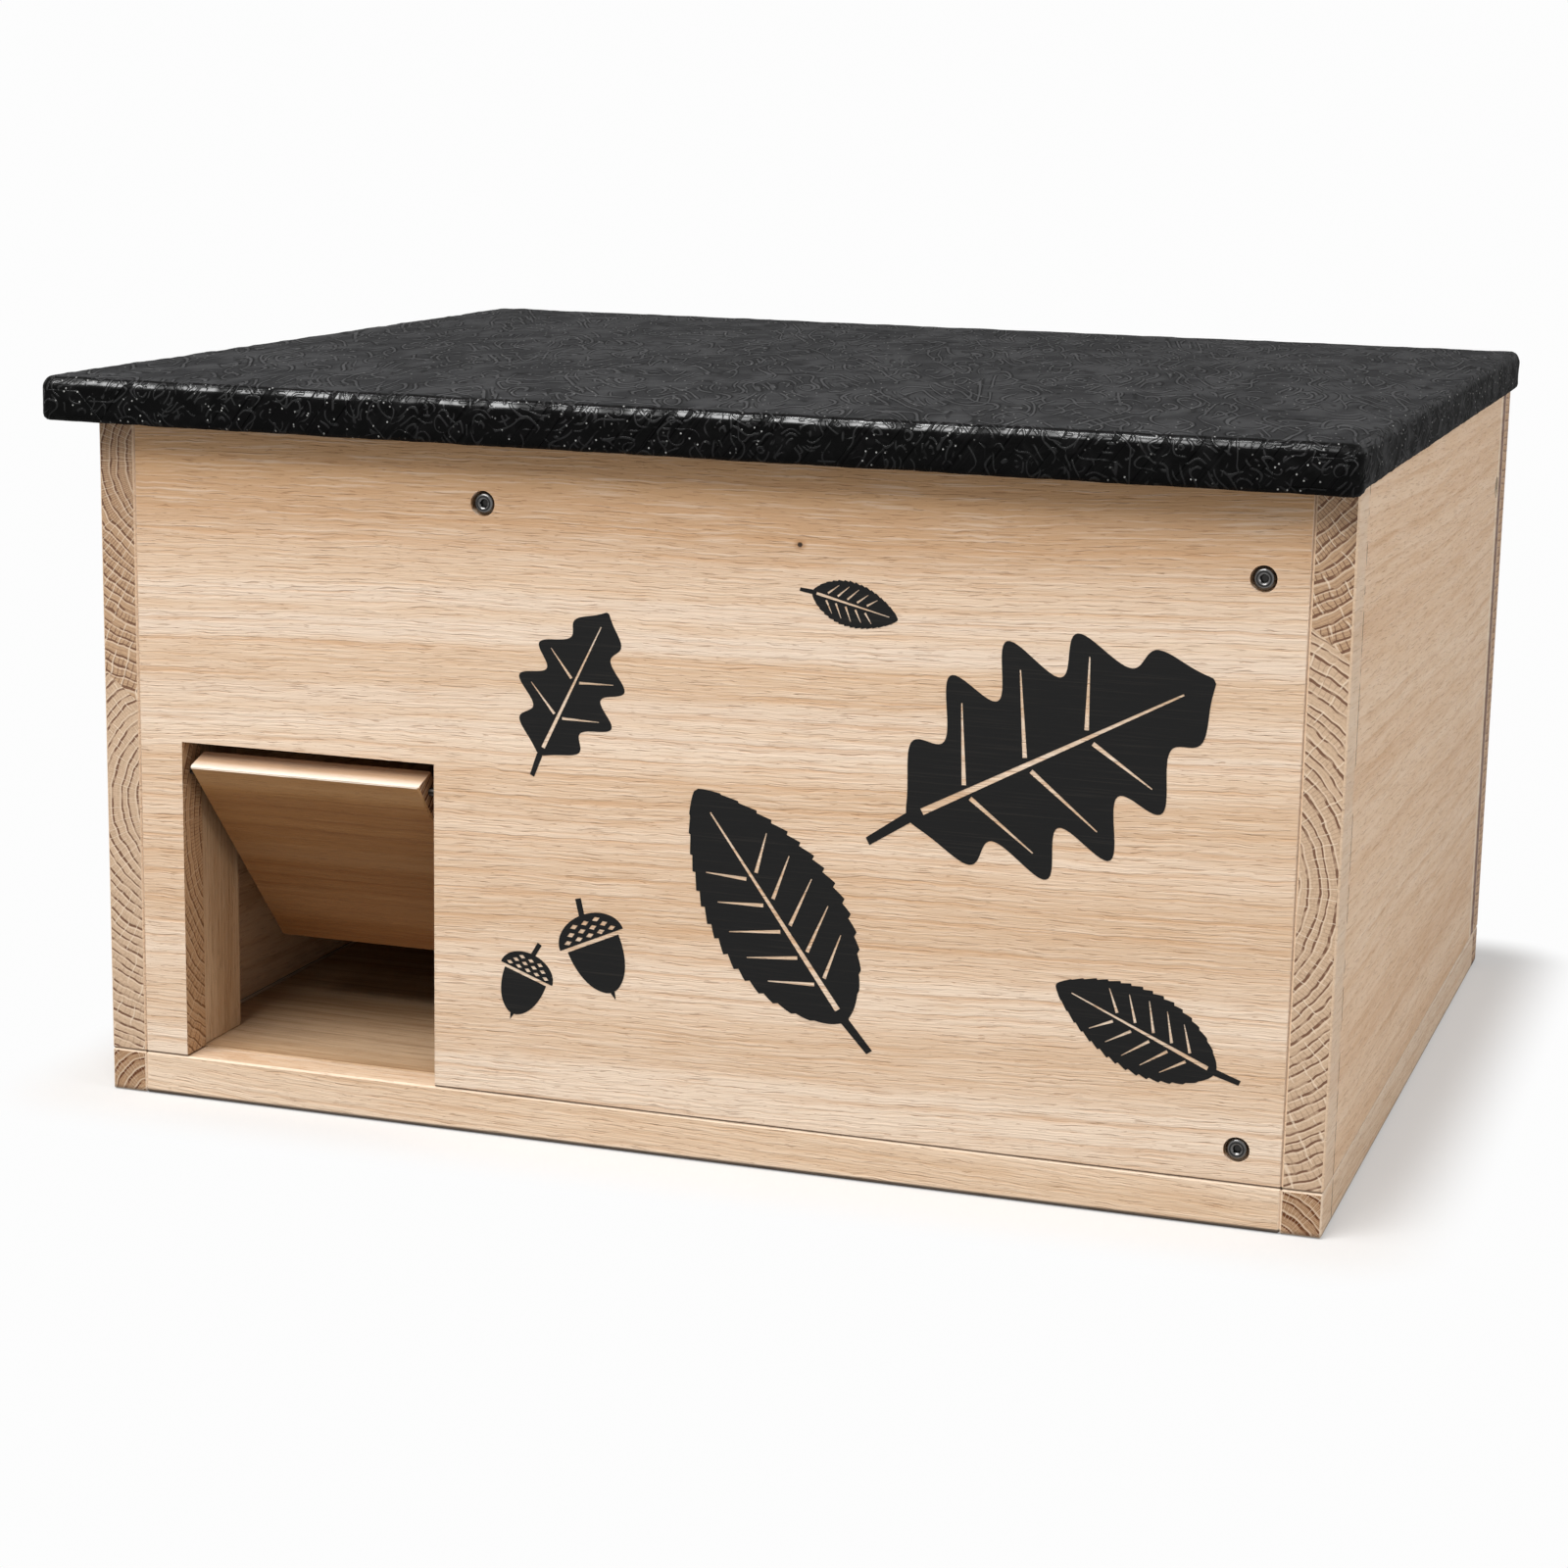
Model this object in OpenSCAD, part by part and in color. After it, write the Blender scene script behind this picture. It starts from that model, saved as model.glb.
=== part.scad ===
// Hedgehog house: a wooden box on a base frame, with a top-hung entrance flap,
// an inner partition and a loose lift-off roof covered in bitumen felt.
// Millimetres. +X is to the right of the entrance front, +Y is to the back, +Z is up.
// The origin is on the ground, under the middle of the box.

/* [House] */
// Outside width of the walls
box_w = 580; // [480:5:700]
// Outside depth of the walls
box_d = 500; // [420:5:600]
// Height of the wall panels
wall_h = 300; // [260:5:380]
// Thickness of the wall boards
board_t = 18; // [15:1:22]
// Easing on the edges of every board
edge_ease = 0.8; // [0.4:0.1:1.2]

/* [Base] */
// Height of the base rails
rail_h = 20; // [17:1:30]
// Thickness of the floor panel
floor_t = 12; // [9:1:15]
// Gap round the floor panel
floor_gap = 1; // [0.5:0.5:2]
// Width of the bearers under the floor
bearer_w = 40; // [30:1:60]

/* [Entrance] */
// Width of the entrance
opening_w = 128; // [110:1:150]
// Height of the entrance
opening_h = 152; // [120:1:180]
// Width of the strip between the entrance and the side panel
jamb_w = 22; // [20:1:40]

/* [Flap] */
// Thickness of the flap
flap_t = 14; // [10:1:16]
// Slope of the flap's top edge, which falls to the back
flap_bevel = 23; // [0:1:30]
// Gap on each side of the flap
flap_side_gap = 6; // [2:0.5:8]
// Gap above the flap when it hangs shut
flap_top_gap = 3; // [2:0.5:6]
// Gap under the flap when it hangs shut
flap_foot_gap = 12; // [5:1:25]
// Distance from the top edge of the flap down to its rod
rod_drop = 12; // [10:1:16]
// Diameter of the rod
rod_d = 4; // [3:0.5:5]
// How far the rod runs into the front panel past the entrance
rod_seat = 16; // [10:1:25]
// Space left at each end of the rod
rod_end_gap = 0.5; // [0.2:0.1:1]
// Radial clearance of the flap on the rod
flap_bore_clear = 0.08; // [0.02:0.01:0.1]
// Radial clearance of the rod in the front panel
rod_seat_clear = 0.02; // [0.01:0.01:0.05]
// Angle at which the flap stands open, pushed inwards
flap_angle = 42; // [0:1:80]

/* [Inner woodwork] */
// Width of the corner posts
post_w = 40; // [30:1:50]
// Thickness of the corner posts
post_t = 20; // [16:1:22]
// Air gap between the inner woodwork and the top of the walls
inner_drop = 6; // [4:1:12]
// Distance from the entrance to the partition
partition_gap = 15; // [5:1:40]
// Width of the passage through the partition
passage_w = 130; // [110:1:150]
// Height of the passage through the partition
passage_h = 150; // [120:1:180]
// Width of the partition's foot behind the passage
passage_foot = 30; // [20:1:60]

/* [Roof] */
// Thickness of the roof deck
deck_t = 15; // [12:1:18]
// Thickness of the felt
felt_t = 3; // [2:0.1:3.5]
// Radius of the felt round the upright corners
felt_corner_r = 6; // [4:0.5:8]
// Radius of the felt over the top edges
felt_top_r = 4; // [3:0.5:6]
// Radius of the felt round the lower edges
felt_low_r = 2; // [1:0.5:3]
// Overhang at each side with the roof centred
roof_side_over = 13; // [8:1:30]
// Overhang at the front and the back with the roof centred
roof_end_over = 15; // [8:1:30]
// Side of the square battens under the roof
batten_s = 20; // [15:1:25]
// Gap from the left batten to the left panel, as the roof lies
batten_gap_left = 2; // [1:1:20]
// Gap from the right batten to the right panel, as the roof lies
batten_gap_right = 20; // [1:1:30]
// Gap from the battens to the front post, as the roof lies
batten_gap_front = 9; // [1:1:20]
// Gap from the battens to the rear posts, as the roof lies
batten_gap_rear = 15; // [1:1:30]

/* [Screws] */
// Diameter of the screw heads
head_d = 9.6; // [8:0.2:10.4]
// Height of the screw heads
head_h = 3; // [2.5:0.1:3.5]
// Depth of the screw heads below the face
head_sink = 0.8; // [0.4:0.1:1.5]
// Diameter of the counterbores
counterbore_d = 11.5; // [11:0.1:13]
// Diameter of the screw shanks
shank_d = 4.5; // [3.5:0.1:5]
// Radial clearance of the shanks in their holes
shank_clear = 0.05; // [0.02:0.01:0.1]
// Length of the wall screws under the head
wall_screw_len = 30; // [24:1:32]
// Length of the base screws under the head
base_screw_len = 40; // [35:1:60]
// Length of the batten screws under the head
batten_screw_len = 25; // [20:1:28]
// Distance of the partition's front screw from the top of the panel
partition_screw_drop = 28; // [20:1:60]
// Distance of the upper post screw from the top of the front panel
post_screw_drop = 39; // [25:1:60]
// Distance of the lower post screw from the foot of the front panel
post_screw_rise = 15; // [10:1:22]
// Distance of the side screws from the top of the side panels
side_screw_drop = 49; // [40:1:80]
// Distance of the outer rows of back screws from the panel's edges
back_screw_inset = 25; // [15:1:30]
// Distance of the outer base screws from the corners
base_screw_inset = 60; // [60:5:100]
// Distance of the outer batten screws from the ends of the battens
batten_screw_inset = 30; // [20:1:60]

/* [Hidden] */

$fn = 48;
// Overlap of a cut beyond the face that it opens
cut = 1;
felt_fn = 32;

pale_wood = [0.88, 0.74, 0.58];
side_wood = [0.76, 0.66, 0.55];
base_wood = [0.84, 0.70, 0.53];
inner_wood = [0.80, 0.67, 0.51];
flap_wood = [0.78, 0.61, 0.45];
felt_black = [0.07, 0.07, 0.07];
screw_steel = [0.42, 0.42, 0.43];
rod_steel = [0.62, 0.62, 0.64];

// Faces of the box
left_x = -box_w / 2;
right_x = box_w / 2;
front_y = -box_d / 2;
rear_y = box_d / 2;
wall_z = rail_h;
top_z = rail_h + wall_h;
inner_left_x = left_x + board_t;
inner_right_x = right_x - board_t;
inner_front_y = front_y + board_t;
inner_rear_y = rear_y - board_t;
inner_w = inner_right_x - inner_left_x;
inner_d = inner_rear_y - inner_front_y;
inner_h = wall_h - inner_drop;
side_d = inner_rear_y - front_y;

// Entrance, flap and rod
opening_x0 = inner_left_x + jamb_w;
opening_x1 = opening_x0 + opening_w;
opening_top = wall_z + opening_h;
flap_w = opening_w - 2 * flap_side_gap;
flap_h = opening_h - flap_top_gap - flap_foot_gap;
rod_y = front_y + board_t / 2;
rod_z = opening_top - flap_top_gap - rod_drop;
rod_x0 = inner_left_x + rod_end_gap;
rod_x1 = opening_x1 + rod_seat;

// Inner woodwork
partition_x = opening_x1 + partition_gap;
partition_mid_x = partition_x + board_t / 2;
passage_y1 = inner_rear_y - passage_foot;
bearer_t = rail_h - floor_t;
bearer_span = inner_w - 2 * floor_gap - bearer_w;

// Roof, lying where its battens' gaps put it
roof_w = box_w + 2 * roof_side_over;
roof_d = box_d + 2 * roof_end_over;
roof_t = deck_t + 2 * felt_t;
roof_x = (batten_gap_left - batten_gap_right) / 2;
roof_y = (batten_gap_front - batten_gap_rear) / 2;
hem_w = roof_side_over + board_t + (batten_gap_left + batten_gap_right) / 2;
deck_z = top_z + felt_t;
batten_l = inner_d - 2 * post_w - batten_gap_front - batten_gap_rear;
batten_x0 = inner_left_x + batten_gap_left;
batten_x1 = inner_right_x - batten_gap_right - batten_s;
batten_y = inner_front_y + post_w + batten_gap_front;
batten_z = deck_z - batten_s;

// Screw places
seat_depth = head_sink + head_h;
post_mid_x = board_t + post_t / 2;
front_post_mid_x = inner_right_x - post_w / 2;
front_places = [
    [partition_mid_x, front_y, top_z - partition_screw_drop],
    [front_post_mid_x, front_y, top_z - post_screw_drop],
    [front_post_mid_x, front_y, wall_z + post_screw_rise]
];
back_rows = [wall_z + back_screw_inset, wall_z + wall_h / 2, top_z - back_screw_inset];
back_columns = [left_x + post_mid_x, partition_mid_x, right_x - post_mid_x];
back_places = [for (x = back_columns, z = back_rows) [x, rear_y, z]];
side_screw_y = inner_rear_y - post_w / 2;
side_screw_z = top_z - side_screw_drop;
base_y_rows = [front_y + base_screw_inset, (front_y + inner_rear_y) / 2, inner_rear_y - base_screw_inset];
base_front_places = [for (x = [opening_x1 + base_screw_inset, right_x - base_screw_inset]) [x, rod_y, 0]];
base_rear_places = [
    for (x = [left_x + base_screw_inset, 0, right_x - base_screw_inset]) [x, rear_y - board_t / 2, 0]
];
base_left_places = [for (y = base_y_rows) [left_x + board_t / 2, y, 0]];
base_right_places = [for (y = base_y_rows) [right_x - board_t / 2, y, 0]];
batten_screw_rows = [
    batten_y + batten_screw_inset, batten_y + batten_l / 2, batten_y + batten_l - batten_screw_inset
];
batten_places = [
    for (x = [batten_x0, batten_x1], y = batten_screw_rows) [x + batten_s / 2, y, batten_z]
];

// Shared shapes

// Outline of a board's section with its four edges eased
module eased_outline(a, b) {
    e = edge_ease;
    polygon([[e, 0], [a - e, 0], [a, e], [a, b - e], [a - e, b], [e, b], [0, b - e], [0, e]]);
}

// A board from the origin to size, with all twelve edges eased
module board(size) {
    intersection() {
        linear_extrude(size.z) eased_outline(size.x, size.y);
        translate([0, size.y, 0]) rotate([90, 0, 0]) linear_extrude(size.y) eased_outline(size.x, size.z);
        rotate([90, 0, 90]) linear_extrude(size.x) eased_outline(size.y, size.z);
    }
}

// A pan-head screw along +Z, set into a face at z = 0
module wood_screw(length) {
    r = shank_d / 2;
    crown_r = head_d / 3;
    rim_z = head_sink + head_h / 2;
    tip_z = seat_depth + length;
    rotate_extrude() polygon([
        [0, head_sink], [crown_r, head_sink], [head_d / 2, rim_z], [head_d / 2, seat_depth],
        [r, seat_depth], [r, tip_z - shank_d], [0, tip_z]
    ]);
}

// The counterbore and clearance hole that take a screw
module screw_hole(length) {
    r = shank_d / 2 + shank_clear;
    translate([0, 0, -cut]) cylinder(d = counterbore_d, h = seat_depth + cut);
    cylinder(r = r, h = seat_depth + length + shank_clear);
}

// Places along the faces, with the screws' own +Z turned into the wood
module at_front(places) {
    for (p = places) translate(p) rotate([-90, 0, 0]) children();
}

module at_back(places) {
    for (p = places) translate(p) rotate([90, 0, 0]) children();
}

module at_sides() {
    translate([left_x, side_screw_y, side_screw_z]) rotate([0, 90, 0]) children();
    translate([right_x, side_screw_y, side_screw_z]) rotate([0, -90, 0]) children();
}

module at_underside(places) {
    for (p = places) translate(p) children();
}

// Base

module base_front_rail() {
    color(base_wood) difference() {
        translate([inner_left_x, front_y, 0]) board([inner_w, board_t, rail_h]);
        at_underside(base_front_places) screw_hole(base_screw_len);
    }
}

module base_rear_rail() {
    color(base_wood) difference() {
        translate([left_x, inner_rear_y, 0]) board([box_w, board_t, rail_h]);
        at_underside(base_rear_places) screw_hole(base_screw_len);
    }
}

module base_left_rail() {
    color(base_wood) difference() {
        translate([left_x, front_y, 0]) board([board_t, side_d, rail_h]);
        at_underside(base_left_places) screw_hole(base_screw_len);
    }
}

module base_right_rail() {
    color(base_wood) difference() {
        translate([inner_right_x, front_y, 0]) board([board_t, side_d, rail_h]);
        at_underside(base_right_places) screw_hole(base_screw_len);
    }
}

module floor_panel() {
    color(inner_wood) translate([inner_left_x + floor_gap, inner_front_y + floor_gap, bearer_t])
        board([inner_w - 2 * floor_gap, inner_d - 2 * floor_gap, floor_t]);
}

// A bearer under the floor, step counted from the middle one
module floor_bearer(step) {
    color(inner_wood) translate([step * bearer_span / 2 - bearer_w / 2, inner_front_y + floor_gap, 0])
        board([bearer_w, inner_d - 2 * floor_gap, bearer_t]);
}

module floor_bearer_left() { floor_bearer(-1); }
module floor_bearer_middle() { floor_bearer(0); }
module floor_bearer_right() { floor_bearer(1); }

// Walls

module front_panel() {
    color(pale_wood) difference() {
        translate([inner_left_x, front_y, wall_z]) board([inner_w, board_t, wall_h]);
        translate([opening_x0, front_y - cut, wall_z - cut])
            cube([opening_w, board_t + 2 * cut, opening_h + cut]);
        translate([inner_left_x - cut, rod_y, rod_z]) rotate([0, 90, 0])
            cylinder(r = rod_d / 2 + rod_seat_clear, h = rod_x1 + rod_end_gap - inner_left_x + cut);
        at_front(front_places) screw_hole(wall_screw_len);
        at_underside(base_front_places) screw_hole(base_screw_len);
    }
}

module rear_panel() {
    color(pale_wood) difference() {
        translate([left_x, inner_rear_y, wall_z]) board([box_w, board_t, wall_h]);
        at_back(back_places) screw_hole(wall_screw_len);
        at_underside(base_rear_places) screw_hole(base_screw_len);
    }
}

module left_panel() {
    color(side_wood) difference() {
        translate([left_x, front_y, wall_z]) board([board_t, side_d, wall_h]);
        at_sides() screw_hole(wall_screw_len);
        at_underside(base_left_places) screw_hole(base_screw_len);
    }
}

module right_panel() {
    color(side_wood) difference() {
        translate([inner_right_x, front_y, wall_z]) board([board_t, side_d, wall_h]);
        at_sides() screw_hole(wall_screw_len);
        at_underside(base_right_places) screw_hole(base_screw_len);
    }
}

// Inner woodwork

module front_left_post() {
    color(inner_wood) translate([inner_left_x, inner_front_y, wall_z]) board([post_t, post_w, inner_h]);
}

module front_right_post() {
    color(inner_wood) difference() {
        translate([inner_right_x - post_w, inner_front_y, wall_z]) board([post_w, post_t, inner_h]);
        at_front(front_places) screw_hole(wall_screw_len);
    }
}

// A rear post with its inner left corner at x
module rear_post(x) {
    color(inner_wood) difference() {
        translate([x, inner_rear_y - post_w, wall_z]) board([post_t, post_w, inner_h]);
        at_back(back_places) screw_hole(wall_screw_len);
        at_sides() screw_hole(wall_screw_len);
    }
}

module rear_left_post() { rear_post(inner_left_x); }
module rear_right_post() { rear_post(inner_right_x - post_t); }

module partition() {
    color(inner_wood) difference() {
        translate([partition_x, inner_front_y, wall_z]) board([board_t, inner_d, inner_h]);
        translate([partition_x - cut, passage_y1 - passage_w, wall_z - cut])
            cube([board_t + 2 * cut, passage_w, passage_h + cut]);
        at_front(front_places) screw_hole(wall_screw_len);
        at_back(back_places) screw_hole(wall_screw_len);
    }
}

// Entrance flap, hung on a rod that the left panel traps in the front panel

module flap_rod() {
    color(rod_steel) translate([rod_x0, rod_y, rod_z]) rotate([0, 90, 0])
        cylinder(d = rod_d, h = rod_x1 - rod_x0);
}

// The flap's board, with its top edge sloped so that it clears the entrance as it swings
module flap_board() {
    back_h = flap_h - flap_t * tan(flap_bevel);
    intersection() {
        board([flap_w, flap_t, flap_h]);
        rotate([90, 0, 90]) linear_extrude(flap_w) polygon([[0, 0], [flap_t, 0], [flap_t, back_h], [0, flap_h]]);
    }
}

module flap() {
    color(flap_wood) translate([opening_x0 + flap_side_gap, rod_y, rod_z]) rotate([flap_angle, 0, 0])
        difference() {
            translate([0, -flap_t / 2, rod_drop - flap_h]) flap_board();
            translate([-cut, 0, 0]) rotate([0, 90, 0])
                cylinder(r = rod_d / 2 + flap_bore_clear, h = flap_w + 2 * cut);
        }
}

// Roof, felted all over its top and edges, with the felt turned under as a hem

// The deck's solid, with corners that the felt goes round at one thickness
module deck_block() {
    r = felt_corner_r - felt_t;
    x = roof_w / 2 - felt_corner_r;
    y = roof_d / 2 - felt_corner_r;
    translate([roof_x, roof_y, deck_z]) linear_extrude(deck_t) {
        square([2 * x, 2 * (y + r)], center = true);
        square([2 * (x + r), 2 * y], center = true);
        for (cx = [-x, x], cy = [-y, y]) translate([cx, cy]) circle(r);
    }
}

module roof_deck() {
    color(inner_wood) difference() {
        deck_block();
        at_underside(batten_places) screw_hole(batten_screw_len);
    }
}

// One corner of the felt: a round block with a full top edge and a tighter lower edge
module felt_corner() {
    steps = felt_fn / 4;
    low = [for (i = [0:steps]) let (a = 90 * i / steps)
        [felt_corner_r - felt_low_r * (1 - sin(a)), felt_low_r * (1 - cos(a))]];
    high = [for (i = [0:steps]) let (a = 90 * i / steps)
        [felt_corner_r - felt_top_r * (1 - cos(a)), roof_t - felt_top_r * (1 - sin(a))]];
    rotate_extrude($fn = felt_fn) polygon(concat([[0, 0]], low, high, [[0, roof_t]]));
}

module roof_felt() {
    x = roof_w / 2 - felt_corner_r;
    y = roof_d / 2 - felt_corner_r;
    open_w = roof_w - 2 * hem_w;
    open_d = roof_d - 2 * hem_w;
    color(felt_black) difference() {
        translate([roof_x, roof_y, top_z]) hull()
            for (cx = [-x, x], cy = [-y, y]) translate([cx, cy, 0]) felt_corner();
        deck_block();
        translate([roof_x - open_w / 2, roof_y - open_d / 2, top_z - cut])
            cube([open_w, open_d, felt_t + 2 * cut]);
    }
}

// A batten that keeps the loose roof in place, with its left face at x
module roof_batten(x) {
    color(inner_wood) difference() {
        translate([x, batten_y, batten_z]) board([batten_s, batten_l, batten_s]);
        at_underside(batten_places) screw_hole(batten_screw_len);
    }
}

module roof_batten_left() { roof_batten(batten_x0); }
module roof_batten_right() { roof_batten(batten_x1); }

// Screws

module front_screws() { color(screw_steel) at_front(front_places) wood_screw(wall_screw_len); }
module rear_screws() { color(screw_steel) at_back(back_places) wood_screw(wall_screw_len); }
module side_screws() { color(screw_steel) at_sides() wood_screw(wall_screw_len); }

module base_screws() {
    color(screw_steel)
        at_underside(concat(base_front_places, base_rear_places, base_left_places, base_right_places))
            wood_screw(base_screw_len);
}

module batten_screws() { color(screw_steel) at_underside(batten_places) wood_screw(batten_screw_len); }

base_front_rail();
base_rear_rail();
base_left_rail();
base_right_rail();
floor_panel();
floor_bearer_left();
floor_bearer_middle();
floor_bearer_right();
front_panel();
rear_panel();
left_panel();
right_panel();
front_left_post();
front_right_post();
rear_left_post();
rear_right_post();
partition();
flap_rod();
flap();
roof_deck();
roof_felt();
roof_batten_left();
roof_batten_right();
front_screws();
rear_screws();
side_screws();
base_screws();
batten_screws();
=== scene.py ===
"""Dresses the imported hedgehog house.

The CAD model gives every board its place. This script adds the finishes of the wood, the felt on
the roof, the screws, the printed leaves on the front, and the studio with its camera.
"""

import logging
import math
from collections.abc import Callable, Iterable, Sequence
from dataclasses import dataclass, field
from enum import Enum
from typing import TypeVar

import bpy
from mathutils import Matrix, Vector

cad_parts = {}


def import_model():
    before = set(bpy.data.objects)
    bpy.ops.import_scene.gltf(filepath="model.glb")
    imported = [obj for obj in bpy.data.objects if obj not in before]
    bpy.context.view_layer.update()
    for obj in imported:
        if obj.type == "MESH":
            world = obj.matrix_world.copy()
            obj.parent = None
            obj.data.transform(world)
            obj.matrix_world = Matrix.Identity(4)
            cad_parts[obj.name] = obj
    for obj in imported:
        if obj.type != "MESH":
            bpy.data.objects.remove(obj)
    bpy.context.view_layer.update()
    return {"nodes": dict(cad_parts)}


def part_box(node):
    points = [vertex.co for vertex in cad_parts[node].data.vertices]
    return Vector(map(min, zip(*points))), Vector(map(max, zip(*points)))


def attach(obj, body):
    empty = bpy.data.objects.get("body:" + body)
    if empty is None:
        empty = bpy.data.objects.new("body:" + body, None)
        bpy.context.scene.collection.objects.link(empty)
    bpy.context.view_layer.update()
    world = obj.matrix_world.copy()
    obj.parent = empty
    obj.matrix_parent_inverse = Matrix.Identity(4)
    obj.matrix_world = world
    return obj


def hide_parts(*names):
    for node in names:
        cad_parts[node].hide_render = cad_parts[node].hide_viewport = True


log = logging.getLogger("hedgehog_house")

MM = 0.001

Colour = tuple[float, float, float, float]
Point = tuple[float, float, float]
Spot = tuple[float, float]
Loop = list[Spot]


def tone(red: int, green: int, blue: int) -> Colour:
    """Turns a colour as it is seen on a screen into the linear one that the nodes take.

    Args:
        red: Red from 0 to 255.
        green: Green from 0 to 255.
        blue: Blue from 0 to 255.

    Returns:
        The linear colour with full alpha.
    """
    shares = [channel / 255 for channel in (red, green, blue)]
    linear = [s / 12.92 if s <= 0.04045 else ((s + 0.055) / 1.055) ** 2.4 for s in shares]
    return (linear[0], linear[1], linear[2], 1.0)


def limit(share: float) -> float:
    """Keeps a share from 0 to 1."""
    return min(max(share, 0.0), 1.0)


@dataclass(frozen=True)
class Pattern:
    """A cloudy noise.

    Attributes:
        scale: Clouds in a metre, the same all ways or along each axis.
        detail: Number of finer layers.
        rough: How strong the finer layers are.
        warp: How far it is distorted.
        shift: How far it is moved along each axis, where it has a scale for each.
    """

    scale: float | Point
    detail: float = 1.0
    rough: float = 0.5
    warp: float = 0.0
    shift: Point = (0, 0, 0)


class Signal:
    """What comes out of a node: a number or a vector, which takes part in sums as a number does."""

    def __init__(self, bench: "NodeBench", socket: bpy.types.NodeSocket) -> None:
        """Wraps a node's output."""
        self.bench = bench
        self.socket = socket

    def __add__(self, other: "Signal | float") -> "Signal":
        """Adds a value."""
        return self.bench.calc("ADD", self, other)

    def __sub__(self, other: "Signal | float") -> "Signal":
        """Takes a value away."""
        return self.bench.calc("SUBTRACT", self, other)

    def __rsub__(self, other: float) -> "Signal":
        """Takes the value away from a number."""
        return self.bench.calc("SUBTRACT", other, self)

    def __mul__(self, other: "Signal | float") -> "Signal":
        """Multiplies by a value."""
        return self.bench.calc("MULTIPLY", self, other)

    def __truediv__(self, other: "Signal | float") -> "Signal":
        """Divides by a value."""
        return self.bench.calc("DIVIDE", self, other)

    def __abs__(self) -> "Signal":
        """Drops the sign."""
        return self.bench.calc("ABSOLUTE", self)

    def fract(self) -> "Signal":
        """Returns what is over a whole number."""
        return self.bench.calc("FRACT", self)

    def above(self, level: float) -> "Signal":
        """Returns 1 where the value is above a level, and 0 elsewhere."""
        return self.bench.calc("GREATER_THAN", self, level)

    def hypot(self, other: "Signal") -> "Signal":
        """Returns the distance that two values at a right angle make."""
        return self.bench.calc("SQRT", self * self + other * other)

    def most(self, *others: "Signal | float") -> "Signal":
        """Finds the greatest of several values.

        Args:
            *others: The values beside this one.

        Returns:
            The greatest.
        """
        best = self
        for other in others:
            best = self.bench.calc("MAXIMUM", best, other)
        return best

    def span(self, low: float, high: float, start: float = 0.0, end: float = 1.0) -> "Signal":
        """Eases a value from one range into another.

        Args:
            low: Where the result is start.
            high: Where the result is end.
            start: The result at low and before it.
            end: The result at high and past it.

        Returns:
            The eased value.
        """
        node = self.bench.add("ShaderNodeMapRange", interpolation_type="SMOOTHSTEP", clamp=True)
        self.bench.fill(node.inputs, (self, low, high, start, end))
        return Signal(self.bench, node.outputs[0])

    def split(self) -> dict[str, "Signal"]:
        """Splits a vector.

        Returns:
            Its X, Y and Z by their letters.
        """
        node = self.bench.add("ShaderNodeSeparateXYZ")
        self.bench.feed(node.inputs[0], self)
        return {axis: Signal(self.bench, node.outputs[axis]) for axis in "XYZ"}

    def stretch(self, scale: Point, shift: Point = (0, 0, 0)) -> "Signal":
        """Scales a vector by axis and then shifts it.

        Args:
            scale: Factors along X, Y and Z.
            shift: What is added after the scaling.

        Returns:
            The new vector.
        """
        node = self.bench.add("ShaderNodeMapping")
        self.bench.plug(node, {"Vector": self, "Scale": scale, "Location": shift})
        return Signal(self.bench, node.outputs[0])

    def turned(self, centre: Point, angle: float) -> "Signal":
        """Turns a point or a direction back about X, so that a turned board has its own axes.

        Args:
            centre: The point that it turns about.
            angle: How far the board is turned, in degrees.

        Returns:
            The vector as it is on the board.
        """
        node = self.bench.add("ShaderNodeVectorRotate", rotation_type="X_AXIS")
        self.bench.plug(node, {"Vector": self, "Center": centre, "Angle": -math.radians(angle)})
        return Signal(self.bench, node.outputs[0])

    def noise(self, pattern: Pattern) -> "Signal":
        """Reads a pattern at a place.

        Args:
            pattern: The pattern.

        Returns:
            Its value, about 0.5 on average.
        """
        even = isinstance(pattern.scale, (int, float))
        place = self if even else self.stretch(pattern.scale, pattern.shift)
        node = self.bench.add("ShaderNodeTexNoise")
        self.bench.plug(node, {
            "Vector": place, "Scale": pattern.scale if even else 1.0, "Detail": pattern.detail,
            "Roughness": pattern.rough, "Distortion": pattern.warp,
        })
        return Signal(self.bench, node.outputs[0])

    def cells(self, scale: float) -> "Signal":
        """Scatters points over X and Y.

        Args:
            scale: How many points there are along a metre.

        Returns:
            The distance to the nearest, as a share of their spacing.
        """
        node = self.bench.add("ShaderNodeTexVoronoi", voronoi_dimensions="2D")
        self.bench.plug(node, {"Vector": self, "Scale": scale})
        return Signal(self.bench, node.outputs["Distance"])

    def chance(self) -> "Signal":
        """Draws a random share for each value.

        Returns:
            The share, from 0 to 1.
        """
        node = self.bench.add("ShaderNodeTexWhiteNoise", noise_dimensions="1D")
        self.bench.plug(node, {"W": self})
        return Signal(self.bench, node.outputs["Value"])


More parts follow.
